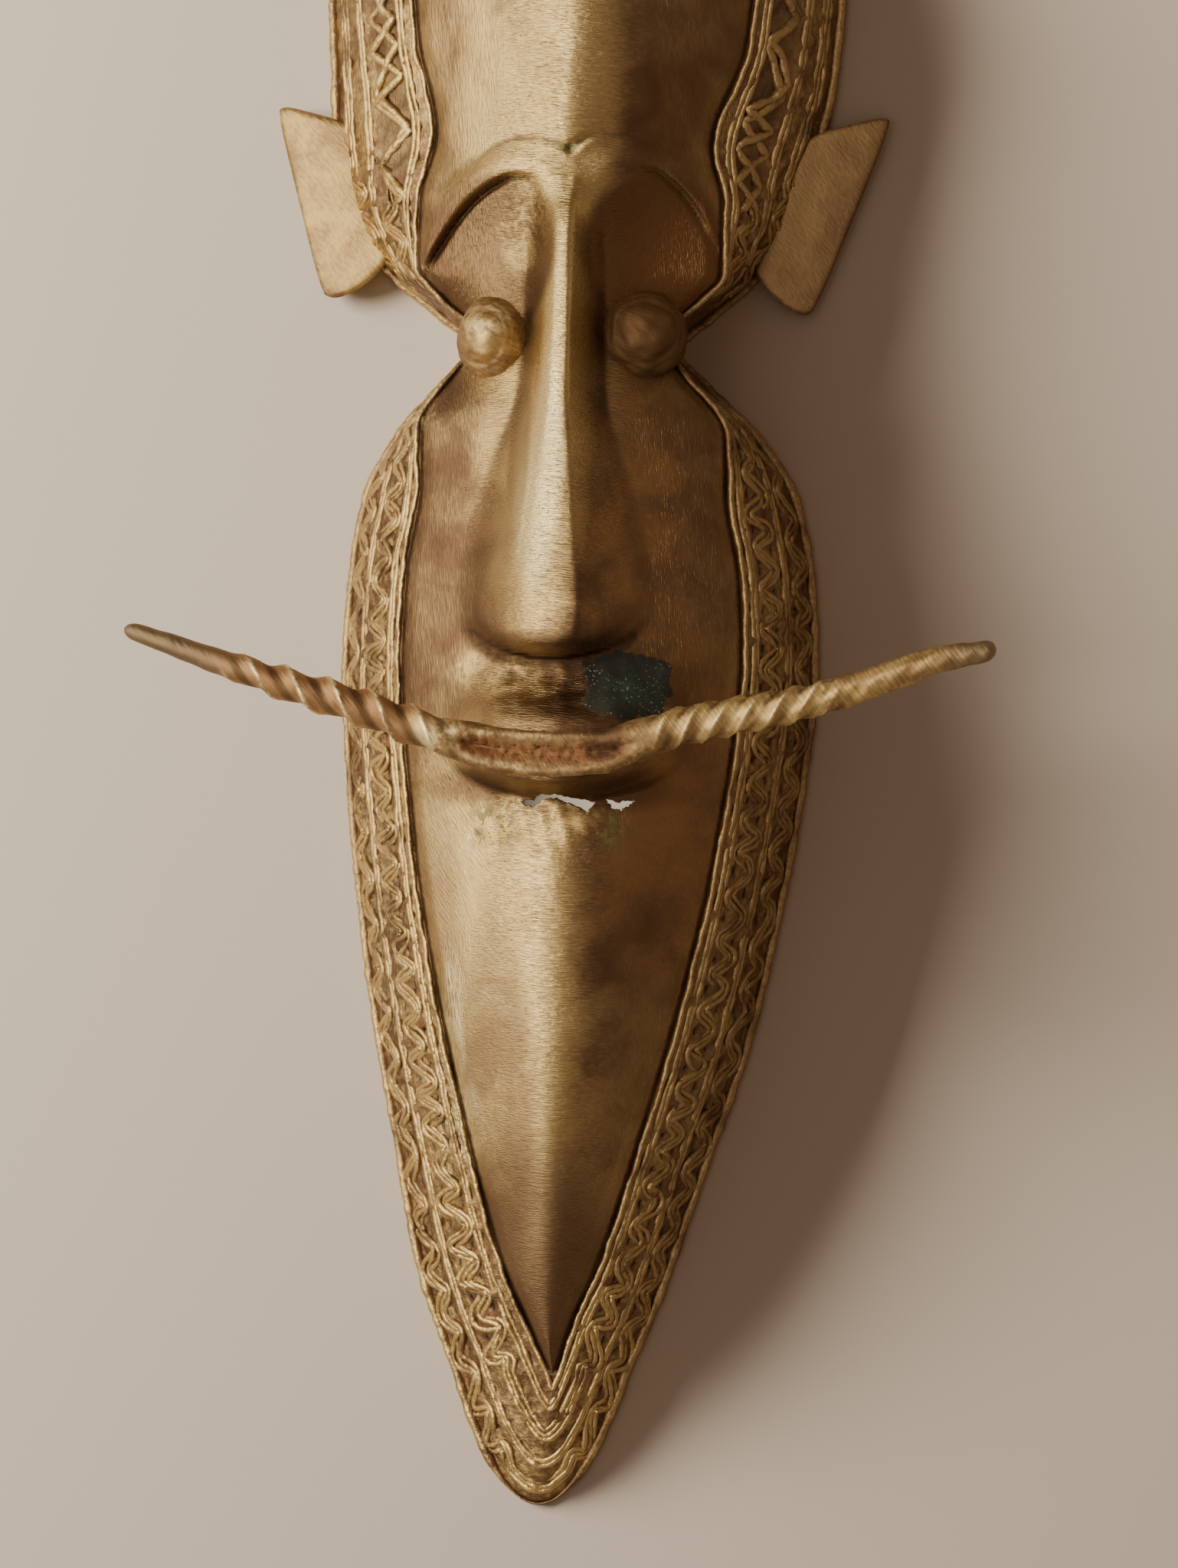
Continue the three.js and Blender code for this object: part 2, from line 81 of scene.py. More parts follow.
def blend_max(a, b, rounding):
    """The higher of two heights, with the corner between them rounded."""
    overlap = np.maximum(rounding - np.abs(a - b), 0) / rounding
    return np.maximum(a, b) + overlap * overlap * rounding / 4


def profile(stations):
    """A smooth curve through stations of (place, value), as a function of the place."""
    places, values = np.array(stations, float).T
    steps = np.diff(places)
    chords = np.diff(values) / steps
    before = np.concatenate([chords[:1], chords])
    after = np.concatenate([chords, chords[-1:]])
    same_way = before * after > 0
    slopes = np.where(same_way, 2 * before * after / np.where(same_way, before + after, 1), 0)

    def curve(position):
        x = np.clip(position, places[0], places[-1])
        i = np.clip(np.searchsorted(places, x, side="right") - 1, 0, len(steps) - 1)
        t = (x - places[i]) / steps[i]
        rise = values[i + 1] - values[i]
        start, end = slopes[i] * steps[i], slopes[i + 1] * steps[i]
        cubic = start + end - 2 * rise
        return values[i] + t * (start + t * (rise - start - cubic + t * cubic))

    return curve

# %% [markdown]
# Two outlines carry the form. The rim lies on the ground, and the edge is where the sloping border meets
# the face. Each is a half width and a middle line, because a mask made by hand isn't quite even. The
# chin and the crown end in a parabola and in ellipses, which close smoothly where a curve would not.

# %% Outline of the rim and of the smooth face
TIP_Y, TOP_Y = -233, 233
CHIN_Y, CHIN_HALF = -200, 21.4
DOME_Y, DOME_HALF = 150, 65.5
POINT_Y, JOIN_Y = -200, -160
ARCH_TOP_Y, ARCH_HALF = 208, 43.1
# The least half width that is divided by
LEAST = 0.5
rim_body = profile([
    (CHIN_Y, CHIN_HALF), (-176, 30.6), (-144, 39.3), (-112, 47.6), (-80, 53.5), (-48, 57.9), (-20, 60.1),
    (4, 58.8), (24, 55.2), (40, 46.2), (54, 33), (63, 25.5), (72, 35), (82, 46.8), (96, 56), (120, 62.8),
    (DOME_Y, DOME_HALF),
])
rim_mid = profile([
    (TIP_Y, 0), (-180, -0.4), (-110, 2.7), (-16, 4), (24, 3.2), (60, 0.5), (100, -2), (136, 0.2),
    (TOP_Y, 0.2),
])
edge_body = profile([
    (POINT_Y, 0), (-184, 5.8), (-168, 12.6), (-128, 24.2), (-96, 32.1), (-64, 38.1), (-16, 42.9), (4, 42),
    (24, 38.8), (40, 38.6), (54, 29.2), (63, 22.6), (72, 31.6), (80, 38.4), (96, 38.5), (112, 35.2),
    (136, 41.5), (DOME_Y, ARCH_HALF),
])
edge_mid = profile([
    (POINT_Y, 4.8), (-176, 3.4), (-100, 4.2), (-24, 4.8), (30, 3.6), (60, 1.2), (104, 0.6), (136, 2.2),
    (ARCH_TOP_Y, 1.5),
])
edge_height = profile([
    (POINT_Y, 17), (-176, 21), (-140, 26), (-100, 29.5), (-40, 31), (10, 31), (40, 28), (63, 24), (80, 27),
    (ARCH_TOP_Y, 28),
])
crown = profile([
    (POINT_Y, 17), (-170, 29), (-140, 37), (-100, 44), (-60, 47.5), (-20, 47), (20, 44), (50, 39), (63, 37),
    (80, 39), (105, 45), (130, 48), (160, 46.5), (185, 41), (ARCH_TOP_Y, 28),
])


def rim_half(y):
    chin = CHIN_HALF * np.sqrt(np.clip((y - TIP_Y) / (CHIN_Y - TIP_Y), 0, None))
    dome = DOME_HALF * np.sqrt(np.clip(1 - ((y - DOME_Y) / (TOP_Y - DOME_Y)) ** 2, 0, None))
    return np.where(y < CHIN_Y, chin, np.where(y > DOME_Y, dome, rim_body(y)))


def edge_half(y):
    arch = ARCH_HALF * np.sqrt(np.clip(1 - ((y - DOME_Y) / (ARCH_TOP_Y - DOME_Y)) ** 2, 0, None))
    return np.where(y > DOME_Y, arch, edge_body(y))


def edge_y_at(rim_y):
    chin = mix(POINT_Y, JOIN_Y, (rim_y - TIP_Y) / (JOIN_Y - TIP_Y))
    dome = mix(DOME_Y, ARCH_TOP_Y, (rim_y - DOME_Y) / (TOP_Y - DOME_Y))
    return np.where(rim_y < JOIN_Y, chin, np.where(rim_y > DOME_Y, dome, rim_y))

# %% [markdown]
# The brows are cut in wax: above a dark groove the metal rolls up into a band, and below it the lid
# bulges gently. Both sides follow one line, so the height near it is written as a function of the
# distance from that line, positive on the forehead's side. A fine seam runs over each brow.

# %% Lines of the brows
# X, Y and the groove's strength, from the temple to the nose on the left and back on the right
brow_lines = [
    [
        (-34.6, 79.8, 0.5), (-32.6, 83.2, 1), (-28.6, 89.1, 1), (-23.2, 95.0, 1), (-17.6, 98.7, 1),
        (-11.4, 100.8, 0.8), (-7.6, 99.6, 0.4), (-5.8, 95.2, 0.12), (-5.4, 88.5, 0),
    ],
    [
        (7.4, 86, 0), (8.4, 92, 0.03), (10.6, 97.5, 0.08), (14.6, 101.6, 0.2), (21.6, 103.2, 0.5),
        (29.3, 98.5, 0.55), (35.6, 89.4, 0.45), (38.6, 82.5, 0.15),
    ],
]
# From the notch over the nose outwards: X, Y and strength
brow_seams = [
    [
        (1.6, 107.2, 1), (-0.8, 108.2, 0.9), (-6, 109.6, 0.7), (-10.8, 110, 0.6), (-16.6, 108.2, 0.4),
        (-24.9, 102.4, 0.1),
    ],
    [(2.6, 107.2, 1), (5, 109, 0.8), (8.6, 110.7, 0.6), (16.3, 111, 0.4), (26, 106.5, 0.1)],
]


def unit(vectors):
    return vectors / np.maximum(np.linalg.norm(vectors, axis=-1, keepdims=True), 1e-9)


def reach_along(points):
    """The distance along a line of points, from its start to each of them."""
    return np.concatenate([[0], np.cumsum(np.linalg.norm(np.diff(points, axis=0), axis=1))])


def smooth_line(points, count=160):
    """Points at even steps along a curve through a few points."""
    points = np.array(points, float)
    reach = reach_along(points)
    curves = [profile(np.column_stack([reach, points[:, axis]])) for axis in range(points.shape[1])]
    places = np.linspace(0, reach[-1], count)
    return np.column_stack([curve(places) for curve in curves])


def beside_line(line, x, y, margin=14):
    """The places near a line: which they are, their nearest point on it, and their gap from there."""
    x, y = np.broadcast_arrays(x, y)
    near = (x > line[:, 0].min() - margin) & (x < line[:, 0].max() + margin)
    near = near & (y > line[:, 1].min() - margin) & (y < line[:, 1].max() + margin)
    away = np.column_stack([x[near], y[near]])[:, None, :] - line[None, :, :2]
    nearest = np.argmin((away ** 2).sum(axis=2), axis=1)
    return near, nearest, away[np.arange(len(nearest)), nearest]


# %% Brows
BROW_HEIGHT, BROW_GROOVE, BROW_FADE = 2.3, 1.3, 5.0
SEAM_DEPTH = 0.7
# How dark the painted shadow in the brows' grooves and seams is.
CUT_DARKNESS = 0.8


def brow_field(x, y):
    """How far the brows lift the face, and how deep a place lies in their grooves, from 0 to 1."""
    lift = np.zeros(np.broadcast(x, y).shape)
    cut = lift.copy()
    for line in map(smooth_line, brow_lines):
        near, nearest, gap = beside_line(line, x, y)
        way = unit(np.gradient(line[:, :2], axis=0))[nearest]
        side = way[:, 0] * gap[:, 1] - way[:, 1] * gap[:, 0]
        distance = np.sign(side) * np.linalg.norm(gap, axis=1)
        beyond = np.abs((way * gap).sum(axis=1))
        strength = line[nearest, 2] * (1 - ease(beyond, 0, BROW_FADE))
        low = -BROW_GROOVE * (1 - ease(-distance, 0.3, 1.9)) * strength
        high = BROW_HEIGHT * (1 - ease(distance, 2.4, 9.5)) * np.sqrt(strength)
        soft = 1.0 + 1.6 * ease(line[nearest, 2], 0.6, 0.35)
        lift[near] += mix(low, high, ease(distance, -0.5 * soft, 0.9 * soft))
        groove = CUT_DARKNESS * strength * ease(np.abs(distance + 0.4), 0.8, 0.3)
        cut[near] = np.maximum(cut[near], groove)
    for points in brow_seams:
        line = smooth_line(points, 80)
        near, nearest, gap = beside_line(line, x, y)
        away = np.linalg.norm(gap, axis=1)
        strength = line[nearest, 2]
        widening = 0.8 * strength ** 4
        lift[near] -= SEAM_DEPTH * strength * ease(away, 1.3 + widening, 0.2)
        cut[near] = np.maximum(cut[near], CUT_DARKNESS * strength * ease(away, 0.75 + widening, 0.2))
    return lift, cut


lift, cut = brow_field(np.linspace(-40, 40, 200)[None, :], np.linspace(75, 120, 120)[:, None])
print("brows rise", round(lift.max(), 2), "mm and sink", round(-lift.min(), 2), "mm")

# %% [markdown]
# The face is one height over the plane. A height is enough where nothing hangs over, and it lets every
# form blend into the next as cast metal does. The first form is the arch of the shell. It is highest down
# the middle, turns into a soft ridge along the chin, and falls into a groove beside the border.

# %% Arch of the shell
ARCH_POWER, CHIN_ROUNDING = 1.65, 0.26
EDGE_GROOVE, EDGE_GROOVE_WIDTH = 1.9, 4.5


def arch_height(x, y):
    half = np.maximum(edge_half(y), LEAST)
    share = np.clip(np.abs(x - edge_mid(y)) / half, 0, 1)
    soft = CHIN_ROUNDING * ease(y, -56, -100)
    swell = (share ** 2 + soft ** 2) ** (ARCH_POWER / 2) - soft ** ARCH_POWER
    full = (1 + soft ** 2) ** (ARCH_POWER / 2) - soft ** ARCH_POWER
    bow = (crown(y) - edge_height(y)) * (1 - swell / full)
    groove = EDGE_GROOVE * ease(share * half, half - EDGE_GROOVE_WIDTH, half)
    return edge_height(y) + bow - groove


# %% [markdown]
# On the arch lie the swelling that carries the lips, two sunken sockets and the wedge of the nose. The wall
# of the hollow follows the same forms farther in, and inset says how far. The nose is blended in last:
# its flanks climb from the cheeks to a flat ridge that is sharper on its right.

# %% Nose, muzzle and sockets
NOSE_X, NOSE_TOP, NOSE_END = 1, 112, -17
NOSE_SINK, NOSE_HOLLOW_END = 5, 8
NOSE_LEAN, NOSE_TURN = 0.115, 0.09
NOSE_HALF = 23
MOUTH_X, MUZZLE_HEIGHT, MUZZLE_HALF = 4, 11, 28
SOCKET_X, SOCKET_Y, SOCKET_MIRROR = -17.5, 84, 3
SOCKET_WIDE, SOCKET_HIGH, SOCKET_DEPTH = 17, 18, 2.6
# How much higher a sloping wall measures upright than across
SLANT = 1.12
ridge_half = profile([(NOSE_END, 7.5), (-6, 8.5), (10, 6.7), (30, 4.7), (48, 3), (NOSE_TOP, 2.2)])
ridge_height = profile([
    (NOSE_END, 61), (-6, 60.5), (10, 57.5), (30, 54), (63, 51), (95, 49.5), (NOSE_TOP, 48),
])
nose_base = profile([
    (NOSE_END, 23), (-5, 25.5), (8, 24), (21, 20), (31, 16.5), (50, 11), (75, 10), (NOSE_TOP, 8.5),
])


def muzzle_height(x, y, inset):
    across = np.abs(x - MOUTH_X) + inset
    under = y - inset - 8 * (across / MUZZLE_HALF) ** 2
    rise = ease(y + inset, -20, -35) * ease(under, -53, -47)
    return MUZZLE_HEIGHT * (1 - ease(across, 13, 32)) * rise


def nose_end_line(across):
    return NOSE_END + 7 * (across / NOSE_HALF) ** 2


def under_nose(x, y):
    """The dark seam where the nose's end meets the lip, as a share."""
    across = np.abs(x - NOSE_X)
    return ease(np.abs(y - nose_end_line(across) + 0.7), 0.8, 0.2) * ease(across, 19, 12)


def nose_flank(x, foot, top):
    """How far a place has climbed from the nose's foot to its ridge, with a rounded corner there."""
    climb = (foot - np.abs(x - NOSE_X)) / (foot - top)
    corner = mix(0.05, 0.3, ease(x - NOSE_X, 1, -1))
    rounded = np.where(climb > 1 - corner, climb - (climb - 1 + corner) ** 2 / (4 * corner), climb)
    return np.clip(np.where(climb > 1 + corner, 1, rounded), 0, 1)


def face_height(x, y, inset=0.0):
    ground = arch_height(x, y) + muzzle_height(x, y, inset)
    for middle in (SOCKET_X, 2 * SOCKET_MIRROR - SOCKET_X):
        away = ((x - middle) / SOCKET_WIDE) ** 2 + ((y - SOCKET_Y) / SOCKET_HIGH) ** 2
        ground = ground - SOCKET_DEPTH * np.clip(1 - away, 0, 1) ** 1.4
    if inset == 0:
        ground = ground + brow_field(x, y)[0]
    foot = np.maximum(nose_base(y) - inset, 2 * LEAST)
    top = np.minimum(ridge_half(y), foot - LEAST)
    from_right = np.clip(top - (x - NOSE_X), 0, 2 * top)
    lean = from_right * (NOSE_LEAN * from_right / top - NOSE_TURN)
    across = np.abs(x - NOSE_X)
    end_y = nose_end_line(across) + (NOSE_HOLLOW_END if inset else 0)
    from_end = np.clip((y - end_y + 0.9) / (4.4 + 4 * (across / NOSE_HALF) ** 2), 0, 1)
    share = nose_flank(x, foot, top) * ((1 - (1 - from_end) ** 2.4) * ease(y, NOSE_TOP, NOSE_TOP - 26))
    ridge = mix(ground - NOSE_SINK, ridge_height(y) - lean, share)
    height = np.where(share > 0, blend_max(ground, ridge, NOSE_SINK), ground)
    return height - inset * SLANT


nose_end_height = face_height(np.array([NOSE_X + 0.0]), np.array([NOSE_END + 6.0]))
print("the nose's end stands", round(float(nose_end_height[0]), 1), "mm high")

# %% [markdown]
# The border slopes from the rim up to the face, a little bulged. Every place on it has two numbers:
# where it is along the rim, and how far across it is from the rim (0) to the face (1). Threads, pits
# and the shell's own grid all use them, so they stay on one surface.

# %% The border's surface
BULGE = 1.25
NEXT_Y, NEXT_ACROSS = 0.4, 0.04


def border_point(side, rim_y, at):
    side, rim_y, at = np.broadcast_arrays(side, rim_y, at)
    edge_y = edge_y_at(rim_y)
    inwards, upwards = at ** BULGE, 1 - (1 - at) ** BULGE
    rim_x = rim_mid(rim_y) + side * rim_half(rim_y)
    x = mix(rim_x, edge_mid(edge_y) + side * edge_half(edge_y), inwards)
    z = (edge_height(edge_y) - EDGE_GROOVE) * upwards
    return np.stack([x, mix(rim_y, edge_y, inwards), z], axis=-1)


def border_normal(side, rim_y, at):
    """The way out of the border, from its slopes, with no sideways part at the chin and the crown."""
    low, high = np.clip(rim_y - NEXT_Y, TIP_Y, TOP_Y), np.clip(rim_y + NEXT_Y, TIP_Y, TOP_Y)
    along = border_point(side, high, at) - border_point(side, low, at)
    inner, outer = np.clip(at + NEXT_ACROSS, 0, 1), np.clip(at - NEXT_ACROSS, 0, 1)
    across = border_point(side, rim_y, inner) - border_point(side, rim_y, outer)
    out = unit(np.cross(along, across) * np.asarray(side, float)[..., None])
    end = 1 - ease(np.abs(rim_y - TIP_Y), 0, 1.5) + 1 - ease(np.abs(rim_y - TOP_Y), 0, 1.0)
    return unit(out * (1 - [1, 0, 0] * np.asarray(end)[..., None]))


# %% [markdown]
# A thread's way round the mask is a closed line at one place across the border. The wavy threads swing
# about such a line, and the swing's phase is kept along it, with wavelengths that differ a little, as a
# hand would lay them. The pits lie in the bays of the same waves, so they read the same numbers.

# %% Ways round the border
rng = np.random.default_rng(11)
WAIST_Y = 63


def way_round(at, step):
    """Even steps on the closed line at one place across: side, Y on the rim, reach, and full length."""
    spread = np.sin(np.linspace(-np.pi / 2, np.pi / 2, 2400))
    rim_y = TIP_Y + (TOP_Y - TIP_Y) * (spread + 1) / 2
    sides = np.concatenate([-np.ones(len(rim_y)), np.ones(len(rim_y) - 2)])
    along = np.concatenate([rim_y[::-1], rim_y[1:-1]])
    points = border_point(sides, along, at)
    reach = reach_along(np.vstack([points, points[:1]]))
    count = int(reach[-1] / step)
    places = np.arange(count) * reach[-1] / count
    side = np.where(places < reach[len(rim_y) - 1], -1.0, 1.0)
    y = np.interp(places, reach, np.append(along, along[0]))
    return side, y, places, reach[-1]


# %% Zones of waves
class Wave:
    """A zone of wavy threads: its middle and half width across, and its phase along."""

    def __init__(self, at, spread, wavelength, low_y, high_y):
        self.at, self.spread = at, spread
        self.side, self.y, self.places, length = way_round(at, 0.7)
        steps = rng.normal(1, 0.16, int(length / wavelength * 2.5))
        knots = np.concatenate([[0], np.cumsum(np.clip(steps, 0.7, 1.35)) * wavelength / 2])
        self.phase = np.interp(self.places, knots, np.arange(len(knots)) * np.pi)
        self.strength = ease(self.y, low_y - 8, low_y) * ease(self.y, high_y + 8, high_y)
        self.strength = self.strength * ease(np.abs(self.y - WAIST_Y), 9, 20)

    def bays(self, side, rim_y, at):
        """How deep a place lies in a bay between the thread and the zone's edge, from 0 to 1."""
        found = np.zeros(np.broadcast(side, rim_y, at).shape)
        beside = (at - self.at) / self.spread
        for one in (-1.0, 1.0):
            mine = np.flatnonzero(self.side == one)
            mine = mine[np.argsort(self.y[mine])]
            away = -beside * np.sin(np.interp(rim_y, self.y[mine], self.phase[mine]))
            strength = np.interp(rim_y, self.y[mine], self.strength[mine])
            bay = ease(away, 0.4, 0.66) * ease(np.abs(beside), 0.98, 0.7) * strength
            found = np.where(side == one, bay, found)
        return found


outer_wave = Wave(0.235, 0.13, 11.5, -222, 100)
inner_wave = Wave(0.67, 0.13, 9.5, -205, 92)
for wave in (outer_wave, inner_wave):
    print("waves along the border", round(wave.phase[-1] / 2 / np.pi))

# %% [markdown]
# The shell is one closed grid: across each row it runs from the rim up the left border, over the face
# and down the right border, then back inside the wall. The rows meet at the tip and at the crown, where
# merging the doubled corners closes it. A grid puts its corners where the form needs them.

# %% Rows of the shell
CHIN_ROWS, BODY_ROWS, DOME_ROWS = 26, 312, 60
BORDER_COLUMNS, FACE_COLUMNS = 34, 120
INNER_BORDER_COLUMNS, INNER_FACE_COLUMNS = 5, 19
MOUTH_LEVEL, BROW_LEVEL = -38, 93


def row_places(share):
    """Rows from chin to dome, closer together at the mouth and at the brows."""
    y = np.linspace(CHIN_Y, DOME_Y, 2000)
    at_mouth, at_brows = ease(np.abs(y - MOUTH_LEVEL), 26, 18), ease(np.abs(y - BROW_LEVEL), 22, 14)
    density = 1 + 1.1 * at_mouth + 1.4 * at_brows
    reach = np.concatenate([[0], np.cumsum((density[1:] + density[:-1]) / 2)])
    return np.interp(share, reach / reach[-1], y)


rows = np.concatenate([
    TIP_Y + (CHIN_Y - TIP_Y) * (np.arange(CHIN_ROWS) / CHIN_ROWS) ** 2,
    row_places(np.linspace(0, 1, BODY_ROWS, endpoint=False)),
    DOME_Y + (TOP_Y - DOME_Y) * np.sin(np.linspace(0, np.pi / 2, DOME_ROWS + 1)),
])[:, None]
ends = ease(rows, TIP_Y, TIP_Y + 6) * ease(rows, TOP_Y, TOP_Y - 3)
print("rows of the shell", len(rows))

# %% [markdown]
# Cast metal is never quite smooth, so the surfaces get low lumps from a few waves that cross each other.
# The ground between the threads is the roughest, and it lies deepest in the bays of the waves.

# %% Outside of the shell


def wobble(points, size, seed):
    """Smooth unevenness from a few waves in fixed directions, between about -1 and 1."""
    generator = np.random.default_rng(seed)
    total = np.zeros(points.shape[:-1])
    for _ in range(7):
        way = unit(generator.normal(size=3)) * generator.uniform(0.7, 1.4) * 2 * np.pi / size
        total += np.sin(points @ way + generator.uniform(0, 6.28))
    return total / 3.2


def forehead_cells(rim_y, at):
    """The lattice zone on the forehead, where the ground lies deeper."""
    return ease(rim_y, 88, 104) * ease(at, 0.5, 0.56) * ease(at, 0.86, 0.82)


PIT_DEPTH, GROUND_DEPTH, LATTICE_PIT = 0.85, 0.05, 0.6


def outer_border(side):
    """Points of one side's border, and how deep they lie in a pit."""
    at = np.linspace(0, 1, BORDER_COLUMNS)[None, :]
    points = border_point(side, rows, at)
    pit = np.maximum(outer_wave.bays(side, rows, at), inner_wave.bays(side, rows, at))
    pit = np.maximum(pit, forehead_cells(rows, at) * LATTICE_PIT)
    zone = ease(at, 0.08, 0.13) * ease(at, 0.97, 0.9)
    lumps = 0.3 * wobble(points, 5.5, 3) + 0.26 * wobble(points, 2.6, 13)
    depth = (GROUND_DEPTH * zone + PIT_DEPTH * pit + zone * lumps) * ends
    depth = depth * ease(at, 0, 0.06) * ease(at, 1, 0.95)
    points = points - border_normal(side, rows, at) * depth[..., None]
    return points, np.clip(pit * ends, 0, 1)


def outer_face():
    """Points of the face, and how deep they lie in its grooves and seams."""
    y = edge_y_at(rows)
    share = np.linspace(-1, 1, FACE_COLUMNS)[None, 1:-1]
    x = edge_mid(y) + share * edge_half(y) * (edge_half(y) > 1.4)
    y = np.broadcast_to(y, x.shape)
    points = np.stack([x, y, face_height(x, y)], axis=-1)
    under_mouth = ease(np.abs(x + 4), 24, 6) * ease(y, -70, -60) * ease(y, -50, -56)
    below_nose = ease(np.abs(x - NOSE_X - 3), 24, 14) * ease(y, -34, -28) * ease(y, -15, -20)
    rough = under_mouth * 0.45 + below_nose * 0.3
    uneven = 0.14 * wobble(points, 24, 5) + rough * wobble(points, 6.5, 6)
    points[..., 2] += uneven * ease(1 - np.abs(share), 0, 0.1)
    # Share of the painted shadow along the groove beside the border.
    at_border = ease((1 - np.abs(share)) * edge_half(y), 2.6, 0.6)
    groove = np.maximum(at_border, brow_field(x, y)[1])
    return points, np.maximum(groove, under_nose(x, y))


# %% [markdown]
# Behind, the casting is an even wall with a narrow foot that it lies on. The hollow's rows keep a
# distance from the chin and the crown, and draw together there, so that the grid closes.

# %% Inside of the shell
WALL, RIM_FOOT = 2.6, 3.4
HOLLOW_TIP, HOLLOW_TOP = 13, 5


def inner_border(side, y):
    """Points of the hollow's side, from the foot on the ground up to the face."""
    at = np.linspace(0, 1, INNER_BORDER_COLUMNS)[None, :]
    wall = border_point(side, y, at) - WALL * border_normal(side, y, at)
    wall[:, 0] = border_point(side, y[:, 0], 0)
    wall[:, 0, 0] -= side * RIM_FOOT
    wall[:, 0, 2] = 0
    return wall


def inner_grid():
    y = mix(TIP_Y + HOLLOW_TIP, TOP_Y - HOLLOW_TOP, (rows - TIP_Y) / (TOP_Y - TIP_Y))
    closing = np.sqrt(ease(rows, TIP_Y, TIP_Y + 16) * ease(rows, TOP_Y, TOP_Y - 4))
    closing = closing * (closing > 0.15)
    edge_y = edge_y_at(y)
    share = np.linspace(-1, 1, INNER_FACE_COLUMNS + 2)[None, 1:-1]
    half = edge_half(edge_y) - WALL
    x = edge_mid(edge_y) + share * half * (half > 1)
    edge_y = np.broadcast_to(edge_y, x.shape)
    height = face_height(x, edge_y, WALL)
    level = height.mean(axis=1, keepdims=True)
    roof = np.stack([x, edge_y, mix(level, height, ease(closing, 0.01, 0.3))], axis=-1)
    grid = np.concatenate([inner_border(-1, y), roof, inner_border(1, y)[:, ::-1]], axis=1)
    middle = rim_mid(y)
    grid[..., 0] = middle + (grid[..., 0] - middle) * closing
    grid[..., 2] += 0.3 * wobble(grid, 14, 8) * ease(grid[..., 2], 0, 8)
    return grid


# %% [markdown]
# A mesh can keep numbers for its points under names, and a finish or a node tree reads them later: this is
# how the metal knows where a pit is. Every mesh is also closed here. Corners that lie on each other are
# merged, folded faces go, and short gaps that are left at the ends of a grid are drawn together.

# %% Meshes from points
DOUBLE, SHORT_GAP = 0.00002, 0.0008


def new_object(name, data):
    made = bpy.data.objects.new(name, data)
    bpy.context.scene.collection.objects.link(made)
    return made


def mark(mesh, label, values, kind="FLOAT"):
    """Keeps a number, or a direction, for every point of a mesh."""
    size = (len(mesh.vertices), 3) if kind == "FLOAT_VECTOR" else (len(mesh.vertices),)
    values = np.broadcast_to(np.asarray(values, np.float32), size)
    layer = mesh.attributes.new(label, kind, "POINT")
    layer.data.foreach_set("vector" if kind == "FLOAT_VECTOR" else "value", values.flatten())


def mesh_object(name, points, faces, marks=None):
    """A mesh from millimetre points, with a number for each point under each mark's name."""
    mesh = bpy.data.meshes.new(name)
    mesh.from_pydata(to_frame(points).tolist(), [], [list(face) for face in faces])
    for label, numbers in (marks or {}).items():
        mark(mesh, label, numbers)
    mesh.shade_smooth()
    return new_object(name, mesh)


def tube_faces(row_count, ring):
    """Quads of a grid of points, row by row, whose columns close to a ring."""
    row = np.arange(row_count - 1)[None, :] * ring
    column = np.arange(ring)[:, None]
    beside = (column + 1) % ring
    corners = [row + column, row + beside, row + ring + beside, row + ring + column]
    return np.stack(corners, axis=-1).reshape(-1, 4)


# %% Closing a mesh


def open_edges(work):
    return [edge for edge in work.edges if len(edge.link_faces) == 1]


def drop_folds(work):
    """Deletes faces that lie on each other, with the same corners."""
    same = {}
    for face in work.faces:
        same.setdefault(frozenset(corner.index for corner in face.verts), []).append(face)
    folded = [face for faces in same.values() if len(faces) > 1 for face in faces]
    bmesh.ops.delete(work, geom=folded, context="FACES_ONLY")


def close_up(made):
    """Merges doubled corners, closes what is left open and turns the skin outwards."""
    work = bmesh.new()
    work.from_mesh(made.data)
    bmesh.ops.remove_doubles(work, verts=work.verts, dist=DOUBLE)
    bmesh.ops.dissolve_degenerate(work, edges=work.edges, dist=DOUBLE / 4)
    drop_folds(work)
    for _ in range(4):
        crowded = {face for edge in work.edges if len(edge.link_faces) > 2 for face in edge.link_faces}
        bmesh.ops.delete(work, geom=list(crowded), context="FACES_ONLY")
        bmesh.ops.holes_fill(work, edges=open_edges(work), sides=0)
        loose = [edge for edge in work.edges if not edge.link_faces]
        bmesh.ops.delete(work, geom=loose, context="EDGES")
        gaps = [edge for edge in open_edges(work) if edge.calc_length() < SHORT_GAP]
        bmesh.ops.collapse(work, edges=gaps, uvs=False)
        bmesh.ops.dissolve_degenerate(work, edges=work.edges, dist=DOUBLE / 4)
    bmesh.ops.recalc_face_normals(work, faces=work.faces)
    left_open = sum(len(edge.link_faces) != 2 for edge in work.edges)
    work.to_mesh(made.data)
    work.free()
    print(made.name, len(made.data.polygons), "faces,", left_open, "open edges")


# %% The shell
left, left_pit = outer_border(-1)
right, right_pit = outer_border(1)
face, face_groove = outer_face()
outside = np.concatenate([left, face, right[:, ::-1]], axis=1)
whole = np.concatenate([outside, inner_grid()[:, ::-1]], axis=1)
row_count, ring = whole.shape[:2]
outer_ring = outside.shape[1]
face_start, face_end = BORDER_COLUMNS, BORDER_COLUMNS + FACE_COLUMNS - 2
marks = {label: np.zeros((row_count, ring)) for label in ("pit", "border", "edge", "hollow")}
marks["pit"][:, :face_start] = left_pit
marks["pit"][:, face_end:outer_ring] = right_pit[:, ::-1]
marks["border"][:, :face_start - 1] = 1
marks["border"][:, face_end + 1:outer_ring] = 1
marks["edge"][:, face_start:face_end] = face_groove
marks["hollow"][:, outer_ring:] = 1
marks = {label: numbers.ravel() for label, numbers in marks.items()}
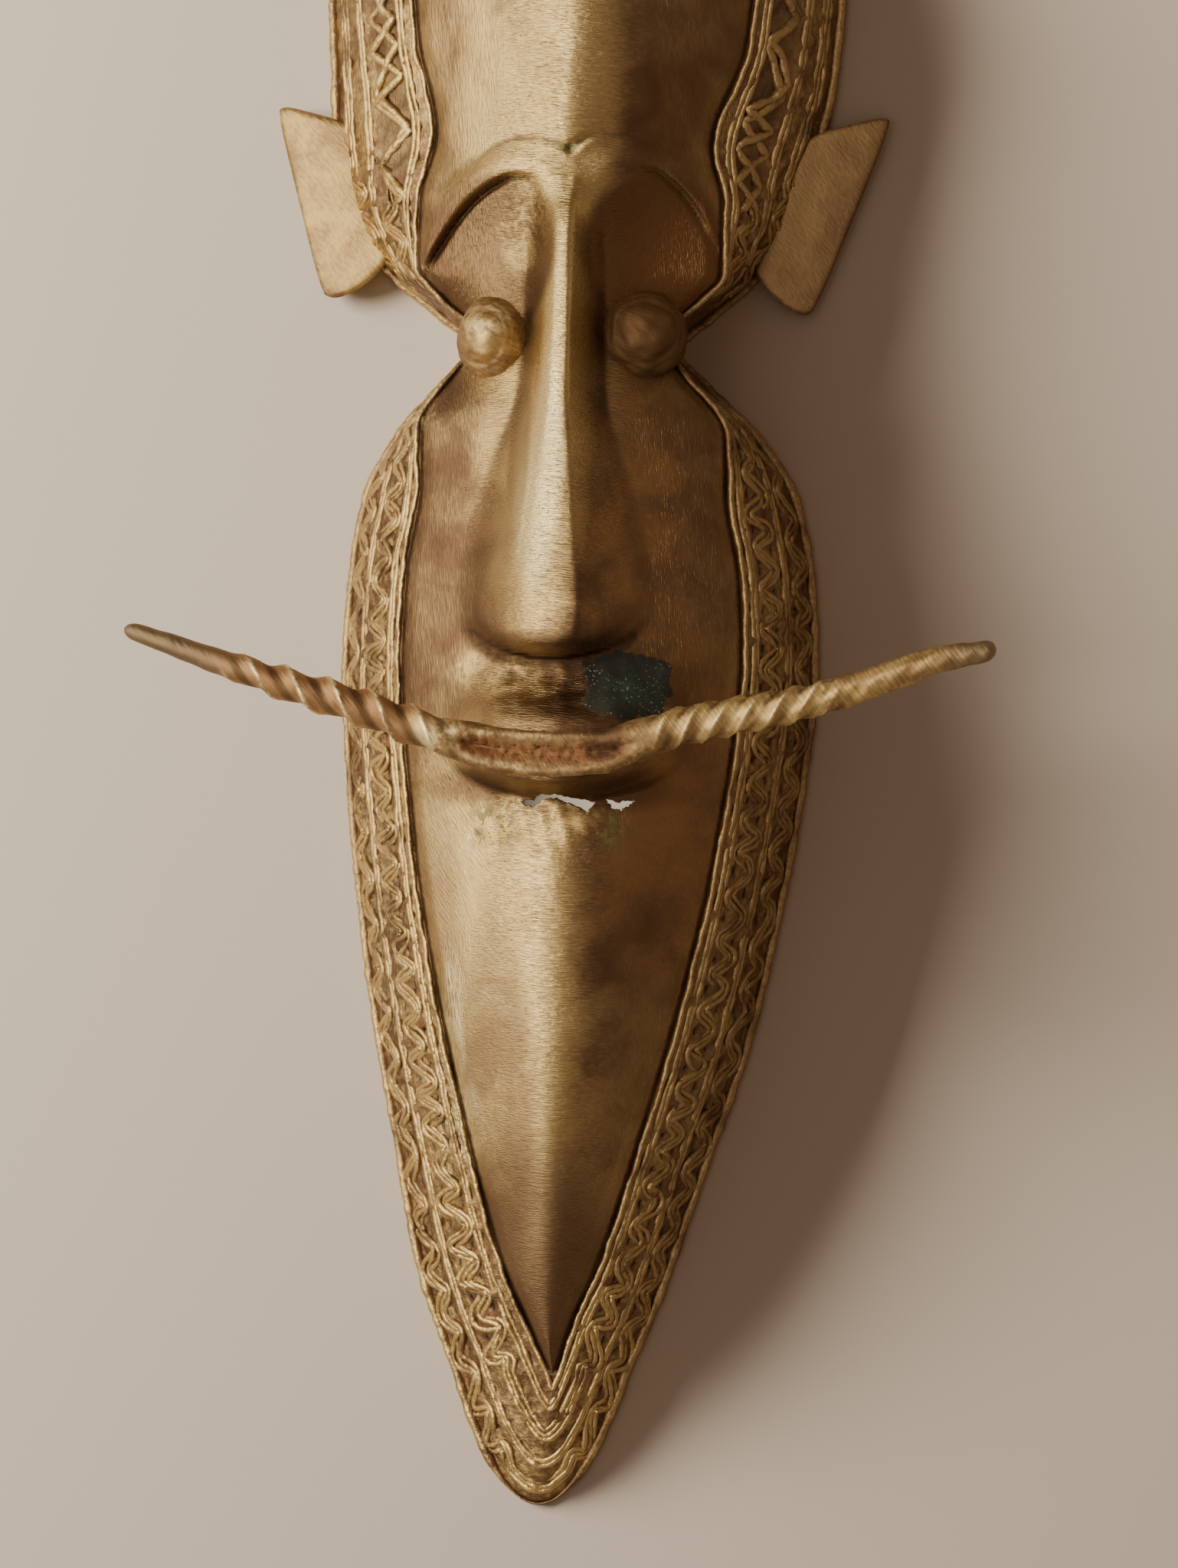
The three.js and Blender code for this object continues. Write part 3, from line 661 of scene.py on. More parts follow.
shell = mesh_object("mask_shell", whole.reshape(-1, 3), tube_faces(row_count, ring), marks)
close_up(shell)

# %% [markdown]
# The lower lip tore at its root, and the tear goes right through the wall. Two ragged outlines are pulled
# through the shell and cut out of it, which is how the slits come to show the wall's thickness.

# %% Slits under the mouth
CUT_LOW, CUT_HIGH = 10, 75
slits = [
    [
        (-4.6, -52.8), (-3.1, -52.3), (-1.5, -52.5), (-0.8, -51.4), (0, -50.9), (2.1, -51.0), (4, -50.6),
        (6.2, -51.3), (8.6, -51.6), (10.8, -51.7), (13.4, -52.4), (12.6, -53.6), (11.4, -55),
        (9.5, -53.6), (7.6, -52.9), (5.9, -52.5), (4.3, -51.6), (3, -51.8), (1.6, -51.6), (0.2, -52.7),
        (-1.4, -54.2), (-2.5, -53.6), (-3.8, -53.6),
    ],
    [
        (15.8, -51.6), (17.1, -51.7), (18.2, -52.2), (20.5, -51.9), (22.9, -51.9), (22, -52.7),
        (21.4, -53.2), (20.4, -53.6), (19.4, -54.4), (18.2, -54), (17.2, -53.8), (16.7, -52.6),
    ],
]


def ragged(outline, pieces=3, size=0.16):
    """The outline with every edge torn into smaller ones."""
    outline = np.array(outline, float)
    torn = []
    for start, end in zip(outline, np.roll(outline, -1, axis=0)):
        torn.append(start)
        torn += [mix(start, end, k / pieces) + rng.normal(0, size, 2) for k in range(1, pieces)]
    return torn


cutter_points, cutter_faces = [], []
for outline in map(ragged, slits):
    first, count = len(cutter_points), len(outline)
    cutter_points += [(x, y, z) for z in (CUT_LOW, CUT_HIGH) for x, y in outline]
    start, end = first + np.arange(count), first + (np.arange(count) + 1) % count
    cutter_faces += [start.tolist(), (start + count)[::-1].tolist()]
    cutter_faces += np.column_stack([start, start + count, end + count, end]).tolist()
cutter = mesh_object("slit_cutter", np.array(cutter_points, float), cutter_faces)
close_up(cutter)
tear = shell.modifiers.new("slits", "BOOLEAN")
tear.object = cutter
tear.operation = "DIFFERENCE"
tear.solver = "EXACT"


def settle(made):
    """Turns an object's modifiers into its mesh."""
    depsgraph = bpy.context.evaluated_depsgraph_get()
    mesh = bpy.data.meshes.new_from_object(made.evaluated_get(depsgraph), depsgraph=depsgraph)
    made.modifiers.clear()
    made.data = mesh
    made.data.shade_smooth()


settle(shell)
bpy.data.objects.remove(cutter)
print("shell with slits", len(shell.data.polygons), "faces")

# %% [markdown]
# Both the threads and the metal are written as node trees. A tree is easier to read as sums, so a small
# class stands for a socket, and each operation on it adds a Math node. The same class serves the geometry
# of the threads and the shaders of the metal.

# %% Sums of nodes


class Value:
    """A socket that takes part in Python sums."""

    def __init__(self, recipe, socket):
        self.recipe, self.socket = recipe, socket

    def do(self, operation, *others):
        return self.recipe.maths(operation, self, *others)

    def __add__(self, other):
        return self.do("ADD", other)

    def __sub__(self, other):
        return self.do("SUBTRACT", other)

    def __rsub__(self, other):
        return self.recipe.maths("SUBTRACT", other, self)

    def __mul__(self, other):
        return self.do("MULTIPLY", other)

    def __truediv__(self, other):
        return self.do("DIVIDE", other)

    def __pow__(self, other):
        return self.do("POWER", other)

    def __abs__(self):
        return self.do("ABSOLUTE")

    def most(self, other):
        return self.do("MAXIMUM", other)

    def step(self, start, end):
        """0 before the start and 1 after the end, eased between; the end may come first."""
        inputs = {"Value": self, "From Min": start, "From Max": end}
        return self.recipe.node("ShaderNodeMapRange", {"interpolation_type": "SMOOTHSTEP"}, **inputs)

    __radd__ = __add__
    __rmul__ = __mul__


class Recipe:
    """A node tree that is written down as sums."""

    def __init__(self, tree):
        self.tree = tree

    def node(self, kind, settings=None, output=0, **inputs):
        """Adds a node: its settings, then a value or link for each input, by its name or as _number."""
        made = self.tree.nodes.new(kind)
        for key, value in (settings or {}).items():
            setattr(made, key, value)
        for key, value in inputs.items():
            place = made.inputs[int(key[1:])] if key[0] == "_" else made.inputs[key]
            if isinstance(value, Value):
                self.tree.links.new(value.socket, place)
            else:
                place.default_value = value
        return Value(self, made.outputs[output])

    def maths(self, operation, *values):
        inputs = {f"_{i}": value for i, value in enumerate(values)}
        return self.node("ShaderNodeMath", {"operation": operation}, **inputs)

    def vector(self, operation, *values, output=0, **inputs):
        inputs.update({f"_{i}": value for i, value in enumerate(values)})
        return self.node("ShaderNodeVectorMath", {"operation": operation}, output, **inputs)


# %% [markdown]
# The threads were rolled from wax and laid on before casting. One node tree makes them all: it takes a
# path, swings it from side to side, sets it a little aside from its neighbour, adds the unevenness
# of a hand, and sweeps a circle along it. The path carries the swing's direction and phase. How far the
# skin stands over the thread's core is kept as crest, so that the finish can rub the tops bright with a
# painted highlight and paint the feet in shade.

# %% Node tree of a thread
SHAKE_SCALE, LUMP_SCALE = 140.0, 330.0
LUMP_SPREAD, LEAST_LUMP = 1.1, 0.45
thread_sizes = [
    ("Path", "Geometry", None), ("Swing", "Float", 1.0), ("Beside", "Float", 0.0), ("Radius", "Float", 0.001),
    ("Lift", "Float", 0.0), ("Wobble", "Float", 0.0002), ("Seed", "Float", 0.0), ("Sides", "Int", 8),
    ("Material", "Material", None),
]


def thread_tree():
    """The tree, and the identifier of each of its inputs."""
    tree = bpy.data.node_groups.new("wax_thread", "GeometryNodeTree")
    names = {}
    for name, kind, value in thread_sizes:
        socket = tree.interface.new_socket(name, in_out="INPUT", socket_type="NodeSocket" + kind)
        if value is not None:
            socket.default_value = value
        names[name] = socket.identifier
    tree.interface.new_socket("Thread", in_out="OUTPUT", socket_type="NodeSocketGeometry")
    recipe = Recipe(tree)
    given = {name: recipe.node("NodeGroupInput", output=name) for name in names}

    def named(label, kind="FLOAT"):
        return recipe.node("GeometryNodeInputNamedAttribute", {"data_type": kind}, Name=label)

    def keep(geometry, label, value, kind):
        settings = {"data_type": kind, "domain": "POINT"}
        inputs = {"Geometry": geometry, "Name": label, "Value": value}
        return recipe.node("GeometryNodeStoreNamedAttribute", settings, **inputs)

    def moved(curve, direction, distance):
        offset = recipe.vector("SCALE", direction, Scale=distance)
        return recipe.node("GeometryNodeSetPosition", Geometry=curve, Offset=offset)

    def noise(scale, detail, output):
        inputs = {"W": given["Seed"], "Scale": scale, "Detail": detail}
        return recipe.node("ShaderNodeTexNoise", {"noise_dimensions": "4D"}, output, **inputs)

    up = named("up", "FLOAT_VECTOR")
    position = recipe.node("GeometryNodeInputPosition")
    curve = recipe.node("GeometryNodeMeshToCurve", Mesh=given["Path"])
    swing = named("phase").do("SINE") * (named("swing") * given["Swing"])
    aside = recipe.vector("SCALE", named("across", "FLOAT_VECTOR"), Scale=swing)
    raised = recipe.vector("SCALE", up, Scale=given["Lift"])
    offset = recipe.vector("ADD", aside, raised)
    curve = recipe.node("GeometryNodeSetPosition", Geometry=curve, Offset=offset)
    tangent = recipe.node("GeometryNodeInputTangent")
    sideways = recipe.vector("NORMALIZE", recipe.vector("CROSS_PRODUCT", up, tangent))
    curve = moved(curve, sideways, given["Beside"])
    shake = recipe.vector("SUBTRACT", noise(SHAKE_SCALE, 1.0, "Color"), (0.5, 0.5, 0.5))
    curve = moved(curve, shake, given["Wobble"])
    curve = keep(curve, "core", position, "FLOAT_VECTOR")
    lumps = noise(LUMP_SCALE, 2.0, "Fac") * LUMP_SPREAD + LEAST_LUMP
    sizes = {"Resolution": given["Sides"], "Radius": given["Radius"]}
    circle = recipe.node("GeometryNodeCurvePrimitiveCircle", **sizes)
    sweep = {"Profile Curve": circle, "Scale": named("fat") * lumps, "Fill Caps": True}
    mesh = recipe.node("GeometryNodeCurveToMesh", Curve=curve, **sweep)
    out = recipe.vector("SUBTRACT", position, named("core", "FLOAT_VECTOR"))
    height = recipe.vector("DOT_PRODUCT", out, up, output="Value")
    mesh = keep(mesh, "crest", height / given["Radius"], "FLOAT")
    mesh = recipe.node("GeometryNodeSetMaterial", Geometry=mesh, Material=given["Material"])
    mesh = recipe.node("GeometryNodeRealizeInstances", Geometry=mesh)
    mesh = recipe.node("GeometryNodeSetShadeSmooth", Geometry=mesh)
    tree.links.new(mesh.socket, tree.nodes.new("NodeGroupOutput").inputs[0])
    return tree, names


THREAD, THREAD_SOCKETS = thread_tree()
print("nodes of a thread", len(THREAD.nodes))

# %% Laying threads


def lay_thread(name, points, up, across=(0, 0, 0), phase=0, swing=0, fat=1, closed=True, **inputs):
    """Sweeps a thread along a path; swing is in millimetres, and fat is a share of the radius."""
    count = len(points)
    edges = [(i, (i + 1) % count) for i in range(count if closed else count - 1)]
    mesh = bpy.data.meshes.new(name)
    mesh.from_pydata(to_frame(points).tolist(), edges, [])
    for label, values in (("up", up), ("across", across)):
        mark(mesh, label, values, "FLOAT_VECTOR")
    for label, values in (("phase", phase), ("swing", np.asarray(swing) * MM), ("fat", fat)):
        mark(mesh, label, values)
    made = new_object(name, mesh)
    modifier = made.modifiers.new("thread", "NODES")
    modifier.node_group = THREAD
    for label, value in inputs.items():
        modifier[THREAD_SOCKETS[label]] = value
    settle(made)
    return made


def join(name, parts):
    """One mesh out of several threads, with nothing below the ground."""
    work = bmesh.new()
    for part in parts:
        work.from_mesh(part.data)
    for corner in work.verts:
        corner.co.z = max(corner.co.z, 0.0)
    mesh = bpy.data.meshes.new(name)
    work.to_mesh(mesh)
    work.free()
    for material in parts[0].data.materials:
        mesh.materials.append(material)
    for part in parts:
        bpy.data.objects.remove(part)
    mesh.shade_smooth()
    print(name, len(mesh.polygons), "faces")
    return new_object(name, mesh)


# %% [markdown]
# The metal is a recipe too. A finish starts from a colour and lays tones over it, each with a mask: a
# number between 0 and 1 that says where it shows. Masks come from noise, from places on the mask, and
# from the numbers that a mesh keeps.

# %% Shaders


class Shader(Recipe):
    """A material: its colour so far, its roughness, how metallic it is, and its bump."""

    def __init__(self, name, color):
        self.material = bpy.data.materials.new(name)
        self.material.use_nodes = True
        super().__init__(self.material.node_tree)
        self.skin = next(node for node in self.tree.nodes if node.type == "BSDF_PRINCIPLED")
        self.mm = self.vector("SCALE", self.node("ShaderNodeTexCoord", output="Object"), Scale=1 / MM)
        self.x, self.y = (self.node("ShaderNodeSeparateXYZ", output=i, Vector=self.mm) for i in range(2))
        self.color, self.rough, self.metal, self.bump = color, 0.5, 1.0, 0.0

    def attribute(self, name):
        return self.node("ShaderNodeAttribute", {"attribute_name": name}, "Fac")

    def noise(self, scale, stretch=(1, 1, 1), turn=0.0, detail=3.0, distortion=0.0):
        """Noise of features about scale millimetres, drawn out by stretch along turned axes."""
        size = tuple(1 / (scale * value) for value in stretch)
        turned = self.node("ShaderNodeMapping", Vector=self.mm, Rotation=(0, 0, turn))
        scaled = self.vector("MULTIPLY", turned, size)
        inputs = {"Scale": 1.0, "Detail": detail, "Distortion": distortion}
        return self.node("ShaderNodeTexNoise", _0=scaled, **inputs)

    def mix(self, a, b, share):
        return self.node("ShaderNodeMix", {"data_type": "RGBA"}, 2, Factor=share, _6=a, _7=b)

    def paint(self, *coats):
        """Lays tones over the colour so far, each where its mask is 1."""
        for tone, mask in coats:
            self.color = self.mix(self.color, tone, mask)

    def blob(self, x, y, wide, high, soft=0.5):
        """1 inside an ellipse given in millimetres of the mask, 0 outside."""
        middle = to_frame([x, y, 0]) / MM
        across = (self.x - float(middle[0])) / wide
        down = (self.y - float(middle[1])) / high
        return (across * across + down * down).step(1 + soft, 1 - soft)

    def finish(self, depth=0.0):
        """The material, with bumps of a depth in millimetres."""
        sockets = {"Base Color": self.color, "Roughness": self.rough, "Metallic": self.metal}
        if depth:
            sizes = {"Strength": 1.0, "Distance": depth * MM}
            sockets["Normal"] = self.node("ShaderNodeBump", Height=self.bump, **sizes)
        for name, value in sockets.items():
            if isinstance(value, Value):
                self.tree.links.new(value.socket, self.skin.inputs[name])
            else:
                self.skin.inputs[name].default_value = value
        print(self.material.name, len(self.tree.nodes), "nodes")
        return self.material


# %% Tones of the metal
def tint(red, green, blue):
    """A colour from 0 to 255 as a screen shows it."""
    parts = [value / 255 for value in (red, green, blue)]
    return (*[((v + 0.055) / 1.055) ** 2.4 if v > 0.04045 else v / 12.92 for v in parts], 1.0)


BRIGHT = tint(244, 226, 172)
BRASS = tint(214, 186, 124)
TAN = tint(160, 129, 91)
SHADE = tint(122, 95, 69)
BROWN = tint(104, 78, 59)
OLIVE = tint(140, 113, 81)
WARM_BROWN = tint(120, 90, 50)
DARK = tint(58, 42, 30)
COPPER = tint(156, 114, 82)
SOCKET_BROWN = tint(106, 80, 57)
ROD_END_BROWN = tint(120, 104, 84)
AMBER = tint(158, 109, 64)
RED_SKIN = tint(136, 90, 66)
GREEN_BLACK = tint(42, 44, 33)
TEAL = tint(66, 102, 88)
MOSS = tint(140, 138, 84)
CHALK = tint(200, 196, 178)

# %% [markdown]
# The shell was brushed by hand. Strokes run level on the forehead and down the middle of the lower face,
# slant at the corners of the mouth, and run upright on the cheeks, so three stroke patterns are mixed by
# place. A stroke is noise that is drawn out along one axis.

# %% Brush strokes
STROKE_WIDTH = 0.26
LONG = 3.6 / STROKE_WIDTH


def strokes(shader):
    level, upright, slanting = (
        shader.noise(STROKE_WIDTH, (*drawn_out, 3), turn, detail=2.0, distortion=0.4)
        for drawn_out, turn in (((LONG, 1), 0.06), ((1, LONG), -0.12), ((LONG, 1), 0.95))
    )
    patches = shader.noise(34, detail=1.0)
    cheeks = (abs(shader.x + 2) + patches * 16).step(22, 33)
    corner = shader.blob(-27, -62, 14, 26).most(shader.blob(34, -70, 12, 30))
    mixed = level + (upright - level) * cheeks
    return mixed + (slanting - mixed) * corner


# %% Patterns of the shell
shader = Shader("brushed_brass", BROWN)
brushed = strokes(shader)
broad = shader.noise(46, detail=2.0)
cloud = shader.noise(11, detail=4.0, distortion=0.6)
speck = shader.noise(1.6, detail=3.0)
grain = shader.noise(0.45, detail=2.0)
pit, border, groove, hollow = map(shader.attribute, ("pit", "border", "edge", "hollow"))

# %% [markdown]
# Under everything lies brown and olive skin. Brass and bright streaks along the strokes are polished metal
# and painted sheen, strongest in painted highlight areas down the middle of the face and faint on the side
# that looks away from the light, which is painted in shade. The chin gets painted shade and a painted
# highlight on its left, the nose ridge a painted highlight and the nose's end painted shade.

# %% Polish, painted highlights and painted shade of the shell
# Painted highlight areas down the forehead, the chin and the nose, where the strokes are painted brighter.
highlight_area = shader.blob(-7, 130, 20, 120).most(shader.blob(-12, -95, 22, 75)).most(shader.blob(-3, 30, 12, 60))
# Painted shade: the right half of the face, on the side away from the light.
shaded_side = shader.x.step(6, 22) * (1.0 - border)
# Brass and bright streaks along the strokes: polished metal with painted sheen, fainter on the side in
# painted shade.
light = (brushed * 0.5 + cloud * 0.4 + broad * 0.5 + highlight_area * 0.26).step(0.62, 1.06) * (1.0 - shaded_side * 0.55)
bright = (brushed * 0.6 + highlight_area * 0.26 + broad * 0.4).step(0.72, 1.05) * (1.0 - shaded_side * 0.7)
# Painted shade on the chin: olive patches left of its ridge and brown on its lower part.
chin_shade = shader.blob(-10, -132, 11, 44, 0.5) * (cloud * 0.6 + broad * 0.5).step(0.38, 0.62)
low_chin_shade = shader.blob(-2, -172, 24, 34, 0.6)
# Painted highlights: a bright streak on the chin's left, partly rubbed metal, and a shine down the nose
# ridge.
rubbed_highlight = shader.blob(-19.5, -134, 6, 10, 0.9).most(shader.blob(-22, -118, 3.5, 24, 0.7) * 0.7)
ridge_shine = shader.blob(-2.5, 30, 6, 30, 0.5)
# Painted shade along the end of the nose.
nose_end_shade = shader.blob(-4, -15.5, 13, 4, 0.6)
shader.paint(
    (OLIVE, (cloud * 0.5 + broad * 0.7 + highlight_area * 0.25).step(0.35, 0.85)),
    (BRASS, light * 0.8),
    (BRIGHT, bright * 0.55),
    (OLIVE, chin_shade * 0.8),
    # painted shade along the chin's left side
    (OLIVE, shader.blob(-26, -92, 7, 44, 0.8) * 0.55),
    (BROWN, low_chin_shade * (0.45 + cloud * 0.5)),
    (BRIGHT, rubbed_highlight * (brushed * 0.6 + cloud * 0.6).step(0.4, 0.66) * 0.9),
    (BRIGHT, ridge_shine * 0.5),
    (BROWN, nose_end_shade * 0.65),
)

# %% [markdown]
# Recesses keep their skin, and painted shade deepens them: the sockets, the hollow between nose and lips,
# and every seam. Some of it shows a warmer, redder brown. Painted shade also lies above the upper lip and
# under the lower lip and warms the right half; painted highlights glint in the left socket and under the
# nose, warm reflections are painted on the right half, and the right socket is painted lighter.

# %% Skin, painted shade and painted highlights in the recesses
recess = shader.attribute("recess")
# Brown skin and painted shade in the recesses.
recess_skin_and_shade = (recess * 0.9 + cloud * 0.6 + broad * 0.4 - brushed * 0.3).step(0.42, 0.95)
sockets = shader.blob(-17.5, 82, 17, 19).most(shader.blob(23, 83, 17, 19))
# Painted highlights glinting in the left socket beside the nose.
glints = shader.blob(-9, 90, 7, 13) * (speck * 0.4 + brushed * 0.3 + cloud * 0.5).step(0.52, 0.74)
# Painted highlight on the rough area under the nose's left side.
gold_highlight = shader.blob(-12.5, -21, 11, 5.5) * (speck * 0.6 + cloud * 0.5).step(0.48, 0.7)
# Painted warm reflections in patches on the right half of the face.
warm_reflection = shader.blob(24, -50, 22, 46).most(shader.blob(19, 15, 14, 34))
warm_reflection = warm_reflection * (cloud * 0.7 + broad * 0.5).step(0.52, 0.72)
shader.paint(
    (BROWN, recess_skin_and_shade * 0.6),
    (SOCKET_BROWN, sockets.step(0.1, 0.7) * 0.85),
    # painted shade, warmer, on the right half of the face
    (WARM_BROWN, shaded_side * 0.25),
    # painted light that brightens the right socket
    (AMBER, shader.blob(23, 80, 15, 19, 0.7) * 0.22),
    (RED_SKIN, sockets * (speck * 0.7 + cloud * 0.3).step(0.52, 0.62) * 0.22),
    (BRASS, glints * 0.6),
    # painted shade in the hollow above the upper lip
    (SOCKET_BROWN, shader.blob(4, -31.5, 26, 5, 0.7) * 0.4),
    (BRASS, gold_highlight * 0.7),
    (AMBER, warm_reflection * 0.3),
    # painted shadow under the lower lip
    (SOCKET_BROWN, shader.blob(2, -49.5, 30, 6, 0.6) * 0.85),
    # dark skin and painted shade deep in the recesses
    (DARK, (recess * 0.9 + speck * 0.4 - 0.2).step(0.45, 0.95) * 0.6),
    # painted shadow in the grooves beside the border and of the brows, and the dark seam under the nose
    (DARK, (groove + speck * 0.5 + cloud * 0.3).step(0.75, 1.35) * 0.9),
)

# %% [markdown]
# The ground of the border is rough as cast. Its pits are nearly black with old dirt, some of its lumps are
# gilt by touch, and green dirt has gathered below the slits and in a few corners. The border's right side is
# painted in shade, and a painted highlight lies on the bump below the slits.

# %% Ground, dirt and painted shade
ground = border * (cloud * 0.7 + speck * 0.5 - pit * 0.4).step(0.75, 0.3)
# A painted highlight on the bump below the slits.
under_slit = shader.blob(-3, -57.5, 16, 6, 0.6)
spots = shader.blob(-11.5, -58, 5.5, 5, 0.7).most(shader.blob(17.5, -58, 3.5, 6, 0.7))
spots = spots * (shader.noise(3.2, detail=3.0) * 0.6 + speck * 0.5).step(0.53, 0.61)
moss = shader.blob(-29, 52, 12, 14).most(shader.blob(1, 108, 3, 5)).most(shader.blob(-50, -100, 12, 60) * 0.5)
moss = moss * (speck * 0.7 + cloud * 0.4 + recess * 0.4).step(0.6, 0.75)
shader.paint(
    (SHADE, border * 0.35),
    (BRASS, border * (speck * 0.8 + cloud * 0.6).step(0.62, 0.9) * 0.55),
    (RED_SKIN, ground * 0.15),
    # painted shade on the right side of the border
    (SHADE, border * shader.x.step(0, 30) * 0.5),
    (GREEN_BLACK, (pit + speck * 0.5).step(0.7, 1.1) * 0.85),
    (BRASS, under_slit * (cloud * 0.6 + speck * 0.5).step(0.46, 0.62) * 0.8),
    (shader.mix(DARK, MOSS, speck), spots * 0.75),
    (MOSS, moss * 0.6),
)

# %% [markdown]
# Beside the nose sits a stain, nearly square with ragged edges, as if something had been stuck there. Its
# outline is a curve between a circle and a square, which the third power of the distances gives, and it
# carries a breath of verdigris and specks of chalk.

# %% The stain
STAIN_X, STAIN_Y, STAIN_WIDE, STAIN_HIGH = 16.0, -24.0, 10.0, 8.2
across = abs(shader.x - STAIN_X) / STAIN_WIDE
down = abs(shader.y - STAIN_Y) / STAIN_HIGH
rounded = (across ** 3 + down ** 3) ** (1 / 3)
ragged_edge = shader.noise(4, detail=3.0) * 0.8 + speck * 0.3 - 0.55
stain = (rounded + ragged_edge).step(1.06, 0.92)
verdigris = (cloud * 0.9 + speck * 0.4 + grain * 0.3).step(0.62, 0.95)
verdigris = verdigris * shader.blob(STAIN_X + 7, STAIN_Y, 8, 7, 0.7)
chalk = (cloud * 0.5 + shader.noise(0.6, detail=2.0)).step(0.9, 0.96)
flank = shader.blob(-13, 2, 6, 22).most(shader.blob(-8, 30, 3, 24))
shader.paint(
    (GREEN_BLACK, stain * 0.95),
    (TEAL, stain * verdigris * 0.6),
    (CHALK, stain * chalk * 0.85),
    (DARK, hollow * (cloud * 0.3 + 0.7)),
    (BROWN, flank * 0.45),
)

# %% Finish of the shell
shader.rough = 0.42 + recess_skin_and_shade * 0.12 + ground * 0.08 + stain * 0.3 + hollow * 0.3 + spots * 0.2
shader.rough = shader.rough + chin_shade * 0.1 + low_chin_shade * 0.1 + flank * 0.08 + nose_end_shade * 0.15
shader.rough = shader.rough - rubbed_highlight * 0.06 - light * 0.12 - ridge_shine * 0.05
shader.metal = 1.0 - stain * 0.75 - moss * 0.5 - hollow * 0.3 - pit * 0.25
shader.bump = brushed * (0.8 - border * 0.3 - shaded_side * 0.4) + cloud * 0.5 + grain * 0.08
shader.bump = shader.bump + speck * (0.2 + border * 1.0 + sockets * 0.3)
brushed_brass = shader.finish(0.3)

# %% [markdown]
# A thread is rubbed bright along its crest, where a painted highlight lies too, and its foot is painted in
# shade, as are the threads on the right side. The crest that the node tree kept tells them apart, and a
# little noise keeps the rubbing from looking drawn.

# %% Finish of the threads


def thread_finish():
    shader = Shader("thread_brass", OLIVE)
    crest = shader.attribute("crest")
    cloud = shader.noise(14, detail=4.0)
    speck = shader.noise(1.3, detail=3.0)
    rub = (crest * 0.7 + cloud * 0.7 + speck * 0.5).step(0.35, 1.25)
    # Painted shade: threads on the right side, away from the light.
    shaded_side = shader.x.step(0, 30)
    shader.paint(
        (TAN, rub),
        # brass on the crests: rubbed metal and painted highlight
        (BRASS, (crest * 0.8 + speck * 0.8 + cloud * 0.7).step(0.95, 1.55)),
        (BROWN, cloud.step(0.45, 0.34) * 0.6),
        # painted shade at the foot of each thread
        (BROWN, (crest + speck * 0.4).step(0.1, -0.5) * 0.35),
        (SHADE, shaded_side * 0.55),
    )
    shader.rough = 0.5 - rub * 0.14 + speck * 0.08 + shaded_side * 0.14
    shader.bump = speck + cloud * 0.3
    return shader.finish(0.35)


thread_brass = thread_finish()

# %% [markdown]
# The straight threads come first: one along the rim, pairs between the waves and beside the face, and
# the thin bright one where border and face meet. They close on themselves round the tip of the chin, and
# the inner ones thin out at the waist, where the border is narrow.

# %% Straight threads
THREAD_STEP = 0.8
SUNK, DEEP_SUNK, WAVE_SUNK, LATTICE_SUNK = 0.8, 1.52, 1.5, 1.6


def core_lift(radius, sunk):
    """How high a thread's core lies over the border, in metres; sunk is a share of its radius."""
    return radius * (1 - sunk) * MM


def on_border(side, y, at):
    """Points of a path on the border, and the way up from it at each of them."""
    at = np.broadcast_to(at, y.shape)
    return border_point(side, y, at), border_normal(side, y, at)


straight = []
for number, (at, radius, shake) in enumerate([
    (0.05, 1.4, 0.4), (0.425, 0.9, 1.2), (0.465, 0.9, 1.2), (0.845, 0.86, 1.1), (0.885, 0.82, 1.1),
    (0.982, 0.74, 1.7),
]):
    side, y, _, _ = way_round(at, THREAD_STEP)
    points, up = on_border(side, y, at)
    from_waist = np.abs(y - WAIST_Y)
    inner = 0.2 < at < 0.95
    fat = np.where(from_waist < 30, 1 - 0.75 * ease(from_waist, 22, 8) * inner, 1.0)
    fat = fat * (1 - 0.8 * ease(np.minimum(y - TIP_Y, TOP_Y - y), 12, 1) * (at < 0.2))
    straight.append(lay_thread(
        f"straight_{number}", points, up, fat=fat, Radius=radius * MM,
        Lift=core_lift(radius, DEEP_SUNK if inner else SUNK), Wobble=shake * MM, Seed=number * 3.7,
        Sides=8, Material=thread_brass,
    ))
threads = join("border_threads", straight)

# %% [markdown]
# Then the waves. Both zones are laid in bundles of three fine threads, each a little flatter than the one
# outside it and a little out of step with it, as they come from a hand. The outer zone swings in wide
# bays, the inner one in narrower ones, and both die out at the waist.

# %% Waves
DRIFT_STEP, DRIFT_DRAWS = 9, 400
LEAST_FAT = 0.02
bundles = [
    (outer_wave, [(-1.5, 0.98, 1.0), (0.0, 0.94, 0.93), (1.45, 0.9, 0.86)]),
    (inner_wave, [(-1.3, 0.92, 1.0), (0.0, 0.88, 0.95), (1.25, 0.86, 0.9)]),
]


